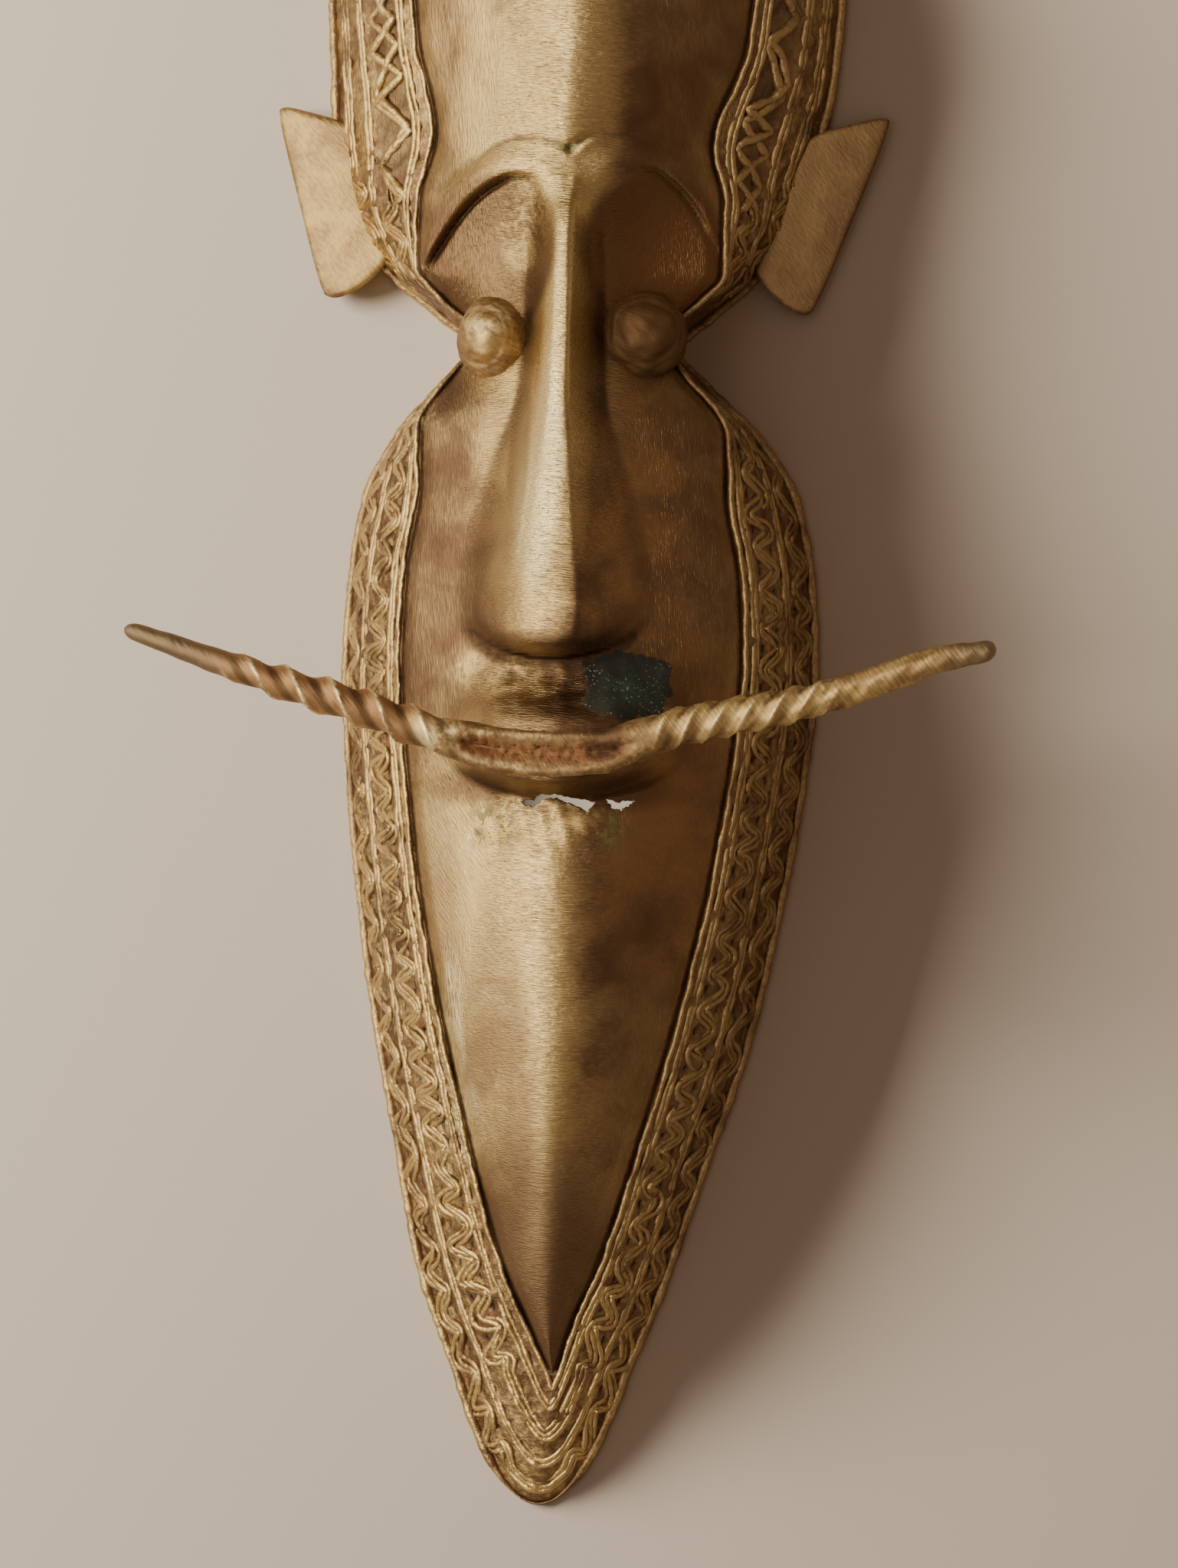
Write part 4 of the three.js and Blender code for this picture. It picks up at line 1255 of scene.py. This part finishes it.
def lay_wave(zone, place, wave, beside, radius, reach):
    """One thread of a bundle; reach is its share of the full swing."""
    points, up = on_border(wave.side, wave.y, wave.at)
    inner = border_point(wave.side, wave.y, wave.at + wave.spread)
    outer = border_point(wave.side, wave.y, wave.at - wave.spread)
    across = inner - outer
    fat = ease(np.abs(wave.y - WAIST_Y), 6, 15)
    if wave is inner_wave:
        fat = fat * ease(wave.y, 104, 94)
    knots = np.arange(0, wave.places[-1] + DRIFT_STEP, DRIFT_STEP)
    drift = np.interp(wave.places, knots, rng.normal(0, 0.45, DRIFT_DRAWS)[:len(knots)])
    uneven = 1 + 0.22 * wobble(points, 26, 50 + zone * 3 + place)
    width = np.linalg.norm(across, axis=1) / 2
    return lay_thread(
        f"wave_{zone}_{place}", points, up, across=unit(across), phase=wave.phase + place * 0.35 * drift,
        swing=width * 0.78 * wave.strength * reach * uneven, fat=np.maximum(fat, LEAST_FAT),
        Beside=beside * MM, Radius=radius * MM, Lift=core_lift(radius, WAVE_SUNK), Wobble=1.8 * MM,
        Seed=20 + zone * 7 + place * 0.15, Sides=6, Material=thread_brass,
    )


waves = [
    lay_wave(zone, place, wave, *sizes)
    for zone, (wave, bundle) in enumerate(bundles) for place, sizes in enumerate(bundle)
]

# %% [markdown]
# On the forehead the inner waves die out too, and two long threads cross each other in a lattice instead.
# Each is a zigzag across the zone, and they start half a wave apart.

# %% Lattice on the forehead
LATTICE_LOW, LATTICE_HIGH, LATTICE_WAVE = 0.52, 0.83, 17.0
LATTICE_FROM_Y, LATTICE_KNOT = 92, 11
LATTICE_RADIUS = 1.3
side, y, places, length = way_round(inner_wave.at, THREAD_STEP)
lowest = int(np.argmin(y))
side, y, places = np.roll(side, -lowest), np.roll(y, -lowest), np.arange(len(places)) * THREAD_STEP
high = y > LATTICE_FROM_Y
side, y, places = side[high], y[high], places[high]
knots = np.arange(0, length, LATTICE_KNOT)
for number, start in enumerate((0.0, 0.5)):
    jitter = np.interp(places, knots, rng.normal(0, 0.13, len(knots)))
    zigzag = np.abs(((places / (LATTICE_WAVE - 2.2 * number) + start + jitter) % 1) * 2 - 1)
    depth = np.interp(places, knots, rng.uniform(0.75, 1, len(knots)))
    at = LATTICE_LOW + (LATTICE_HIGH - LATTICE_LOW) * (0.5 + (zigzag - 0.5) * depth)
    points, up = on_border(side, y, at)
    from_ends = np.minimum(places - places[0], places[-1] - places)
    waves.append(lay_thread(
        f"lattice_{number}", points, up, fat=np.maximum(ease(from_ends, 0, 6), LEAST_FAT), closed=False,
        Radius=LATTICE_RADIUS * MM, Lift=core_lift(LATTICE_RADIUS, LATTICE_SUNK), Wobble=2.4 * MM,
        Seed=40.0 + number, Sides=8, Material=thread_brass,
    ))
wavy = join("border_waves", waves)

# %% [markdown]
# Lips and rods were modelled together: each rod is a twisted roll of wax that opens into the two lips. One
# skin follows them from tip to tip. Its section is a ring of distances from the centre line, and those of
# the rod and of the lips are mixed towards the corners of the mouth.

# %% Line of mouth and rods
ROD_Z = 60.5
ROD_LEFT, ROD_RIGHT = -101.2, 109.2
along = profile([
    (ROD_LEFT, -13.8), (-88, -18), (-76, -21.8), (-56, -27.6), (-42, -31.4), (-29, -35.6), (-19, -38.4),
    (-8, -40.5), (4, -41), (16, -40.2), (27, -36.2), (37, -33), (50, -30.2), (64, -26.9), (82, -21),
    (94, -16.4), (ROD_RIGHT, -12.9),
])
thick = profile([
    (ROD_LEFT, 1.7), (-98, 2.1), (-80, 3.0), (-62, 4.0), (-45, 4.5), (-20, 4.7), (4, 5.2), (27, 4.8),
    (55, 4.3), (72, 3.9), (88, 3.4), (106, 2.6), (ROD_RIGHT, 2.0),
])
gape = profile([
    (-26, 0.5), (-20, 1.8), (-14, 3.1), (-5, 3.8), (6, 3.7), (15, 3.2), (21, 2.3), (26, 1.1), (32, 0.5),
])
upper_size = profile([(-26, 3.8), (-20, 2.8), (-13, 1.7), (4, 1.5), (16, 1.8), (24, 3.0), (34, 3.8)])
lower_size = profile([(-26, 3.8), (-20, 2.9), (-12, 2.0), (4, 1.8), (16, 2.0), (24, 3.0), (34, 3.8)])

# %% Sections of rod and lips
MOUTH_RINGS, MOUTH_SIDES = 460, 72
LIP_ROUNDING = 0.6


def circle_reach(angle, centre_y, centre_z, radius):
    """Distance from the middle to a circle's far side along an angle; 0 where the ray misses it."""
    way = centre_y * np.cos(angle) + centre_z * np.sin(angle)
    inside = radius ** 2 - centre_y ** 2 - centre_z ** 2 + way ** 2
    return np.where(inside > 0, way + np.sqrt(np.maximum(inside, 0)), 0)


def twisted(angle, x, count, pitch, grip):
    """A twisted bar's section: its reach, and the swing that is 0 on its ridges. Without grip it is round."""
    turn = count / 2 * (angle - 2 * np.pi * x / pitch)
    swing = np.abs(np.sin(turn))
    steep_side = 1 + 0.25 * np.sin(2 * turn)
    return thick(x) * (1 + 0.55 * grip - 1.25 * grip * swing ** 0.75 * steep_side), swing


def lips_section(angle, x):
    """The two lips and the body between them, as one ring."""
    opening = gape(x)
    body = circle_reach(angle, 0, -4.2, 5.3)
    upper = circle_reach(angle, opening, 1.7, upper_size(x))
    lower = circle_reach(angle, -opening, 1.2, lower_size(x))
    lips = blend_max(blend_max(body, upper, LIP_ROUNDING), lower, LIP_ROUNDING)
    for _ in range(2):
        lips = lips * 0.5 + (np.roll(lips, 1, axis=1) + np.roll(lips, -1, axis=1)) * 0.25
    return lips


x = np.linspace(ROD_LEFT, ROD_RIGHT, MOUTH_RINGS)[:, None]
angle = np.linspace(0, 2 * np.pi, MOUTH_SIDES, endpoint=False)[None, :]
left_grip = 0.24 * ease(x, -80, -66) * ease(x, -12, -26)
right_grip = 0.16 * ease(x, 78, 66) * ease(x, 24, 34)
left_rod, left_swing = twisted(angle, x, 2, 20.8, left_grip)
right_rod, right_swing = twisted(angle, x, 3, -21.0, right_grip)
rod = np.where(x < MOUTH_X, left_rod, right_rod)
swing = np.where(x < MOUTH_X, left_swing, right_swing)
grip = ease(left_grip + right_grip, 0.02, 0.12)

# %% [markdown]
# The rings are set square to the line, so that a rod keeps its thickness where it climbs. Between the lips
# the skin is as rough as it came from the mould, and the ridges, creases and lips are marked for the finish.

# %% Skin of mouth and rods
middle = 1 - ease(np.abs(x - MOUTH_X), 19, 31)
from_tip = np.clip(np.minimum(x - ROD_LEFT, ROD_RIGHT - x) / 2.2, 0, 1)
reach = mix(rod, lips_section(angle, x), middle) * np.sqrt(np.maximum(from_tip * (2 - from_tip), 0.0))
slope = np.gradient(along(x)[:, 0], x[:, 0])[:, None]
lean = 1 / np.sqrt(1 + slope ** 2)
sideways, upwards = np.cos(angle), np.sin(angle)
points = np.stack([
    x - slope * lean * reach * sideways, along(x) + lean * reach * sideways, ROD_Z + reach * upwards,
], axis=-1)
cavity = ease(gape(x), 1.9, 2.6) * ease(np.abs(points[..., 1] - along(x)), 2.9, 2.1) * (upwards > 0)
hammer = ease(x, 26, 38) * 0.2 * wobble(points, 4.5, 9)
out = np.stack(np.broadcast_arrays(0 * x, sideways, upwards), axis=-1)
bumps = 0.1 * wobble(points, 7, 2) + hammer
crumbs = cavity * (0.3 * wobble(points, 1.9, 4) - 0.15)
points = points + out * bumps[..., None] + [0, 0, 1] * crumbs[..., None]
from_edge = points[..., 1] - along(x) - gape(x) * np.sign(sideways)
lip_edge = ease(np.abs(from_edge), 0.9, 0.3) * middle * (upwards > 0) * ease(np.abs(x + 8), 16, 8)
marks = {
    "cavity": cavity,
    "ridge": np.maximum(ease(swing, 0.34, 0.08) * grip, lip_edge * (1 - cavity) * 0.9),
    "crease": ease(swing, 0.82, 1.0) * grip,
    "lips": middle * (1 - cavity),
}
marks = {label: numbers.ravel() for label, numbers in marks.items()}
mouth = mesh_object("mouth_and_rods", points.reshape(-1, 3), tube_faces(MOUTH_RINGS, MOUTH_SIDES), marks)
close_up(mouth)

# %% [markdown]
# Each eye is a ball in a stepped collar, leaning outwards with the side of the head. A turned
# form needs only its profile and an axis, the way a potter would describe it.

# %% Eyes
EYE_TURNS = 72
# Distance from the axis and height, from the top of the ball down to the foot inside the wall
eye_outline = smooth_line([
    (0.01, 8.4), (2.0, 8.2), (4.0, 7.6), (5.8, 6.5), (7.0, 5.3), (7.7, 4.6), (8.2, 4.3), (8.7, 3.9),
    (9.2, 3.3), (9.8, 2.7), (10.3, 1.9), (10.7, 1.0), (10.9, 0.2), (10.9, -6.0),
], 64)


def make_eye(name, middle, side, lean, wide, high):
    """An eye at a place; side is -1 on the left, lean is in radians, wide and high are shares."""
    turn = np.linspace(0, 2 * np.pi, EYE_TURNS, endpoint=False)
    radius, height = eye_outline[:, 0][:, None], eye_outline[:, 1][:, None]
    local = np.stack(np.broadcast_arrays(
        radius * wide * np.cos(turn), radius * high * np.sin(turn), height,
    ), axis=-1)
    uneven = 0.14 * wobble(local, 3.5, 21) + 0.34 * wobble(local, 9, 22 + side)
    local = local + uneven[..., None] * unit(local)
    points = local @ np.array(Matrix.Rotation(side * lean, 3, "Y")).T + middle
    count = len(eye_outline)
    faces = tube_faces(count, EYE_TURNS).tolist()
    faces.append([(count - 1) * EYE_TURNS + j for j in range(EYE_TURNS)])
    return mesh_object(name, points.reshape(-1, 3), faces)


eyes = [
    make_eye("eye_left", (-17.6, 62.0, 30.8), -1, 0.46, 0.86, 0.94),
    make_eye("eye_right", (20.4, 63.6, 30.8), 1, 0.20, 1.0, 1.0),
]
for eye in eyes:
    close_up(eye)

# %% [markdown]
# The ears are thin leaves that stand out beside the brows, with their lower edges swelling a little. They
# are cast with the border behind them. Thickness falls to nothing at the outline, as wear has rounded it.

# %% Ears
EAR_THICKNESS, EAR_Z, EAR_LIFT, EAR_BEND = 2.1, 6.6, -2.8, 2.6
EAR_STEPS = 44
# Corners: top at the head, top tip, low tip, low at the head
ear_corners = {
    "ear_left": [(-58, 119), (-79.2, 124.6), (-65, 74), (-47, 84.5)],
    "ear_right": [(58.5, 118), (80.2, 124.2), (60.6, 71.5), (44.2, 84.5)],
}


def make_ear(name, top, top_tip, low_tip, low):
    u, v = np.meshgrid(*[np.linspace(-1, 1, EAR_STEPS)] * 2)
    outer = (u * np.sqrt(1 - 0.16 * v ** 6) + 1) / 2
    down = (v * np.sqrt(1 - 0.12 * u ** 6) + 1) / 2
    x, y = (
        mix(mix(top[axis], top_tip[axis], outer), mix(low[axis], low_tip[axis], outer), down)
        for axis in range(2)
    )
    y = y - EAR_BEND * np.sin(np.pi * outer) * down ** 3
    rim = np.maximum(np.abs(u), np.abs(v))
    half = EAR_THICKNESS / 2 * np.sqrt(np.maximum(1 - rim ** 14, 0))
    z = EAR_Z - EAR_THICKNESS / 2 + EAR_LIFT * outer ** 2
    upper, lower = np.stack([x, y, z + half], axis=-1), np.stack([x, y, z - half], axis=-1)
    upper[..., 2] += 0.12 * wobble(upper, 9, 31) * (half / half.max())
    points = np.concatenate([upper.reshape(-1, 3), lower.reshape(-1, 3)])
    index = np.arange(EAR_STEPS ** 2).reshape(EAR_STEPS, EAR_STEPS)
    corners = [index[:-1, :-1], index[:-1, 1:], index[1:, 1:], index[1:, :-1]]
    quads = np.stack(corners, axis=-1).reshape(-1, 4)
    return mesh_object(name, points, np.concatenate([quads, quads[:, ::-1] + EAR_STEPS ** 2]))


ears = [make_ear(name, *corners) for name, corners in ear_corners.items()]
for ear in ears:
    close_up(ear)

# %% [markdown]
# Recesses keep their brown skin and get painted shade, so the finish has to know them. Each point is compared
# with the smoothed surface round it: what lies below that is a recess, and the depth is kept as a number
# between 0 and 1.

# %% Depth of the recesses
SMOOTHINGS, FULL_DEPTH = 14, 0.55


def mesh_numbers(source, label, width, kind=float):
    numbers = np.empty(len(source) * width, kind)
    source.foreach_get(label, numbers)
    return numbers.reshape(-1, width)


def mark_recesses(made):
    mesh = made.data
    places = mesh_numbers(mesh.vertices, "co", 3) / MM
    normals = mesh_numbers(mesh.vertices, "normal", 3)
    a, b = mesh_numbers(mesh.edges, "vertices", 2, int).T
    count = len(places)
    neighbours = np.bincount(a, minlength=count) + np.bincount(b, minlength=count)
    smoothed = places.copy()
    for _ in range(SMOOTHINGS):
        totals = [
            np.bincount(a, smoothed[b, axis], count) + np.bincount(b, smoothed[a, axis], count)
            for axis in range(3)
        ]
        smoothed = np.column_stack(totals) / np.maximum(neighbours, 1)[:, None]
    depth = np.clip(((smoothed - places) * normals).sum(axis=1) / FULL_DEPTH, 0, 1)
    mark(mesh, "recess", depth)
    print(made.name, "recessed points", int((depth > 0.5).sum()))


for made in (shell, mouth, *eyes, *ears):
    mark_recesses(made)

# %% [markdown]
# Mouth, eyes and ears were brushed less than the face. They share one cast brass: a light and a dark tone,
# with the recesses darkened by dark skin and painted shade as deep as each piece asks, and the coppery
# bottom between the lips. Each piece then gets its own marks, among them painted highlights and painted
# shade on the side away from the light.

# %% Cast brass


def cast_brass(name, light, dark, bite, stroke_turn, coarse, stretch=10):
    """Brass of two tones; bite says how far dark skin and painted shade darken the recesses, coarse is the
    grain's size.
    """
    shader = Shader(name, dark)
    brushed = shader.noise(0.7, (stretch, 1, 3), stroke_turn, detail=2.0)
    cloud = shader.noise(9, detail=4.0, distortion=0.5)
    speck = shader.noise(coarse, detail=3.0)
    recess, cavity = shader.attribute("recess"), shader.attribute("cavity")
    shader.paint(
        (light, (brushed * 0.5 + cloud * 0.8).step(0.45, 0.85)),
        # dark skin and painted shade in the recesses
        (DARK, (recess * bite + speck * 0.3).step(0.3, 0.95) * 0.85),
        (COPPER, cavity * 0.85),
        (DARK, cavity * speck.step(0.42, 0.3) * 0.8),
    )
    shader.rough = 0.46 + brushed * 0.14 + recess * 0.2 + cavity * 0.2 + cloud * 0.1
    shader.bump = brushed * 0.7 + cloud * 0.3 + speck * (0.35 + cavity * 1.5)
    return shader


def mouth_finish():
    shader = cast_brass("rod_brass", BRASS, TAN, 1.0, 0.9, 1.5)
    ridge, lips = shader.attribute("ridge"), shader.attribute("lips")
    coppery = shader.x.step(-14, -40) * shader.x.step(-100, -84)
    rod_ends = shader.x.step(-70, -90).most(shader.x.step(84, 102))
    lip_tone = shader.noise(6, detail=3.0) * 0.6 + shader.noise(1.2, detail=2.0) * 0.5
    shader.paint(
        (COPPER, coppery * (shader.noise(5, detail=3.0) * 0.5 + 0.4)),
        (ROD_END_BROWN, rod_ends * 0.8),
        (SHADE, lips * lip_tone.step(0.75, 0.5) * 0.8),
        # Painted highlights, partly rubbed metal: the rods' ridges, the lips' edges and the mouth's left
        # corner.
        (BRIGHT, ridge * lip_tone.step(0.42, 0.62) * (0.8 - lips * 0.45)),
        (BRIGHT, shader.blob(-24, -37, 5, 4, 0.6) * lip_tone.step(0.4, 0.55) * 0.6),
        # Painted shade beside the right corner of the mouth and in the creases of the twist.
        (BROWN, shader.blob(16.5, -37.5, 5, 5, 0.7) * 0.75),
        (DARK, shader.attribute("crease") * 0.55),
    )
    shader.rough = shader.rough + lips * 0.1 - ridge * (0.08 - lips * 0.08)
    return shader.finish(0.22)


def eye_finish():
    shader = cast_brass("eye_brass", BRASS, SHADE, 0.5, 0.4, 1.2, 2.5)
    # Painted shade: the right eye, on the side away from the light, is darker and warmer.
    right = shader.x.step(0, 8)
    # Painted highlight: a bright spot on the left eyeball.
    eye_highlight = shader.blob(-19, 65, 5.5, 4.5, 0.8) * shader.noise(2.4, detail=3.0).step(0.4, 0.55)
    shader.paint(
        (TAN, 0.5),
        (BRIGHT, eye_highlight * 0.6),
        (shader.mix(BROWN, DARK, 0.15), right * 0.92),
        (WARM_BROWN, right * 0.3),
    )
    shader.rough = shader.rough + right * 0.12
    return shader.finish(0.2)


def ear_finish():
    shader = cast_brass("ear_brass", BRASS, TAN, 0.3, 0.8, 2.0, 2.5)
    # Painted shade: the right ear, on the side away from the light, is darker.
    right = shader.x.step(-10, 10)
    shader.paint((SHADE, right * 0.8))
    shader.rough = shader.rough + right * 0.15
    return shader.finish(0.3)


# %% Finish of mouth, eyes and ears
for group, material in (
    ([shell], brushed_brass), ([mouth], mouth_finish()), (eyes, eye_finish()), (ears, ear_finish()),
):
    for made in group:
        made.data.materials.clear()
        made.data.materials.append(material)

# %% [markdown]
# The model names its parts by node, so each mesh is told which node it belongs to.
# All of them are one casting: they stand in for the node of the mask and go where its body goes.

# %% The pieces in the frame
pieces = [shell, threads, wavy, mouth, *eyes, *ears]
for piece in pieces:
    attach(piece, "root")
    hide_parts("mask")
for piece in pieces:
    print(piece.name, sum(len(face.vertices) - 2 for face in piece.data.polygons), "triangles")

# %% [markdown]
# The mask lies on a pale floor. Brass shows what it reflects, so its light comes in two kinds: a low window
# on the left that only lights, and wide screens that are only seen in the metal and give it long soft
# highlights. On the right the metal mirrors a brown room. A faint glow in the hollow shows through the
# slits.

# %% Floor
FLOOR = 3
corners = [(-FLOOR, -FLOOR, 0), (FLOOR, -FLOOR, 0), (FLOOR, FLOOR, 0), (-FLOOR, FLOOR, 0)]
floor_mesh = bpy.data.meshes.new("floor")
floor_mesh.from_pydata(corners, [], [(0, 1, 2, 3)])
floor = new_object("floor", floor_mesh)
floor_paint = Shader("pale_floor", tint(212, 198, 180))
floor_paint.rough, floor_paint.metal = 0.85, 0.0
floor_mesh.materials.append(floor_paint.finish())

# %% Light
WINDOW_WHITE, SCREEN_WHITE = (1.0, 0.95, 0.87), (1.0, 0.93, 0.8)
ROOM_BROWN, HOLLOW_WHITE = (1.0, 0.8, 0.78), (1.0, 0.92, 0.84)


def soft_light(name, place, wide, high, power, color, aim=(0, 0, 0)):
    lamp = bpy.data.lights.new(name, "AREA")
    lamp.shape = "RECTANGLE"
    lamp.size, lamp.size_y = wide, high
    lamp.energy = power
    lamp.color = color
    made = new_object(name, lamp)
    made.location = place
    made.rotation_euler = (Vector(aim) - Vector(place)).to_track_quat("-Z", "Y").to_euler()
    made.visible_camera = False
    return made


window = soft_light("window", (-1.26, 0.36, 0.58), 0.9, 0.42, 56, WINDOW_WHITE)
window.visible_glossy = False
for screen in (
    soft_light("low_screen", (-1.3, 0.1, 1.0), 2.2, 1.2, 26, SCREEN_WHITE),
    soft_light("high_screen", (-0.46, 0.12, 1.32), 1.6, 0.36, 15, SCREEN_WHITE),
    soft_light("foot_screen", (-0.5, -1.5, 0.9), 1.2, 0.6, 3, SCREEN_WHITE),
    soft_light("brown_room", (1.15, 0, 0.8), 2.6, 2.0, 2.2, ROOM_BROWN),
):
    screen.visible_diffuse = False
soft_light("inside_hollow", (0.008, -0.05, 0.012), 0.03, 0.03, 0.0042, HOLLOW_WHITE, (0.008, -0.05, 0))
world = bpy.data.worlds.new("room")
bpy.context.scene.world = world
world.use_nodes = True
sky = world.node_tree.nodes["Background"]
sky.inputs["Color"].default_value = tint(178, 148, 124)
sky.inputs["Strength"].default_value = 0.38

# %% [markdown]
# The camera looks down almost square to the mask, from nearly a metre off, so that its depth hardly draws
# it out of shape. It stands a little to the right and is rolled a little, as the photograph was taken.

# %% Camera
DISTANCE, PIXEL = 950.0, 0.196
SENSOR, PICTURE_HIGH = 36, 2048
TURN, ROLL = math.radians(5.5), math.radians(1.85)
LENS = SENSOR * DISTANCE / PIXEL / PICTURE_HIGH
AIM = np.array([7.4, -48, 0.0])
backward = np.array([math.sin(TURN), 0, math.cos(TURN)])
level = np.array([math.cos(TURN), 0, -math.sin(TURN)])
north = np.array([0, 1, 0])
right_way = level * math.cos(ROLL) + north * math.sin(ROLL)
up_way = north * math.cos(ROLL) - level * math.sin(ROLL)
camera_data = bpy.data.cameras.new("camera")
camera_data.lens = LENS
camera = new_object("camera", camera_data)
columns = np.column_stack([right_way, up_way, backward, to_frame(AIM + backward * DISTANCE)])
camera.matrix_world = Matrix([*columns.tolist(), [0, 0, 0, 1]])
bpy.context.scene.camera = camera
print("lens", round(LENS, 1), "mm")

# %% [markdown]
# At the end the scene is brought up to date. The fine surface must stay inside the box of the plain model,
# or the mask would stand in its own floor when it is laid down.

# %% The end
bpy.context.view_layer.update()
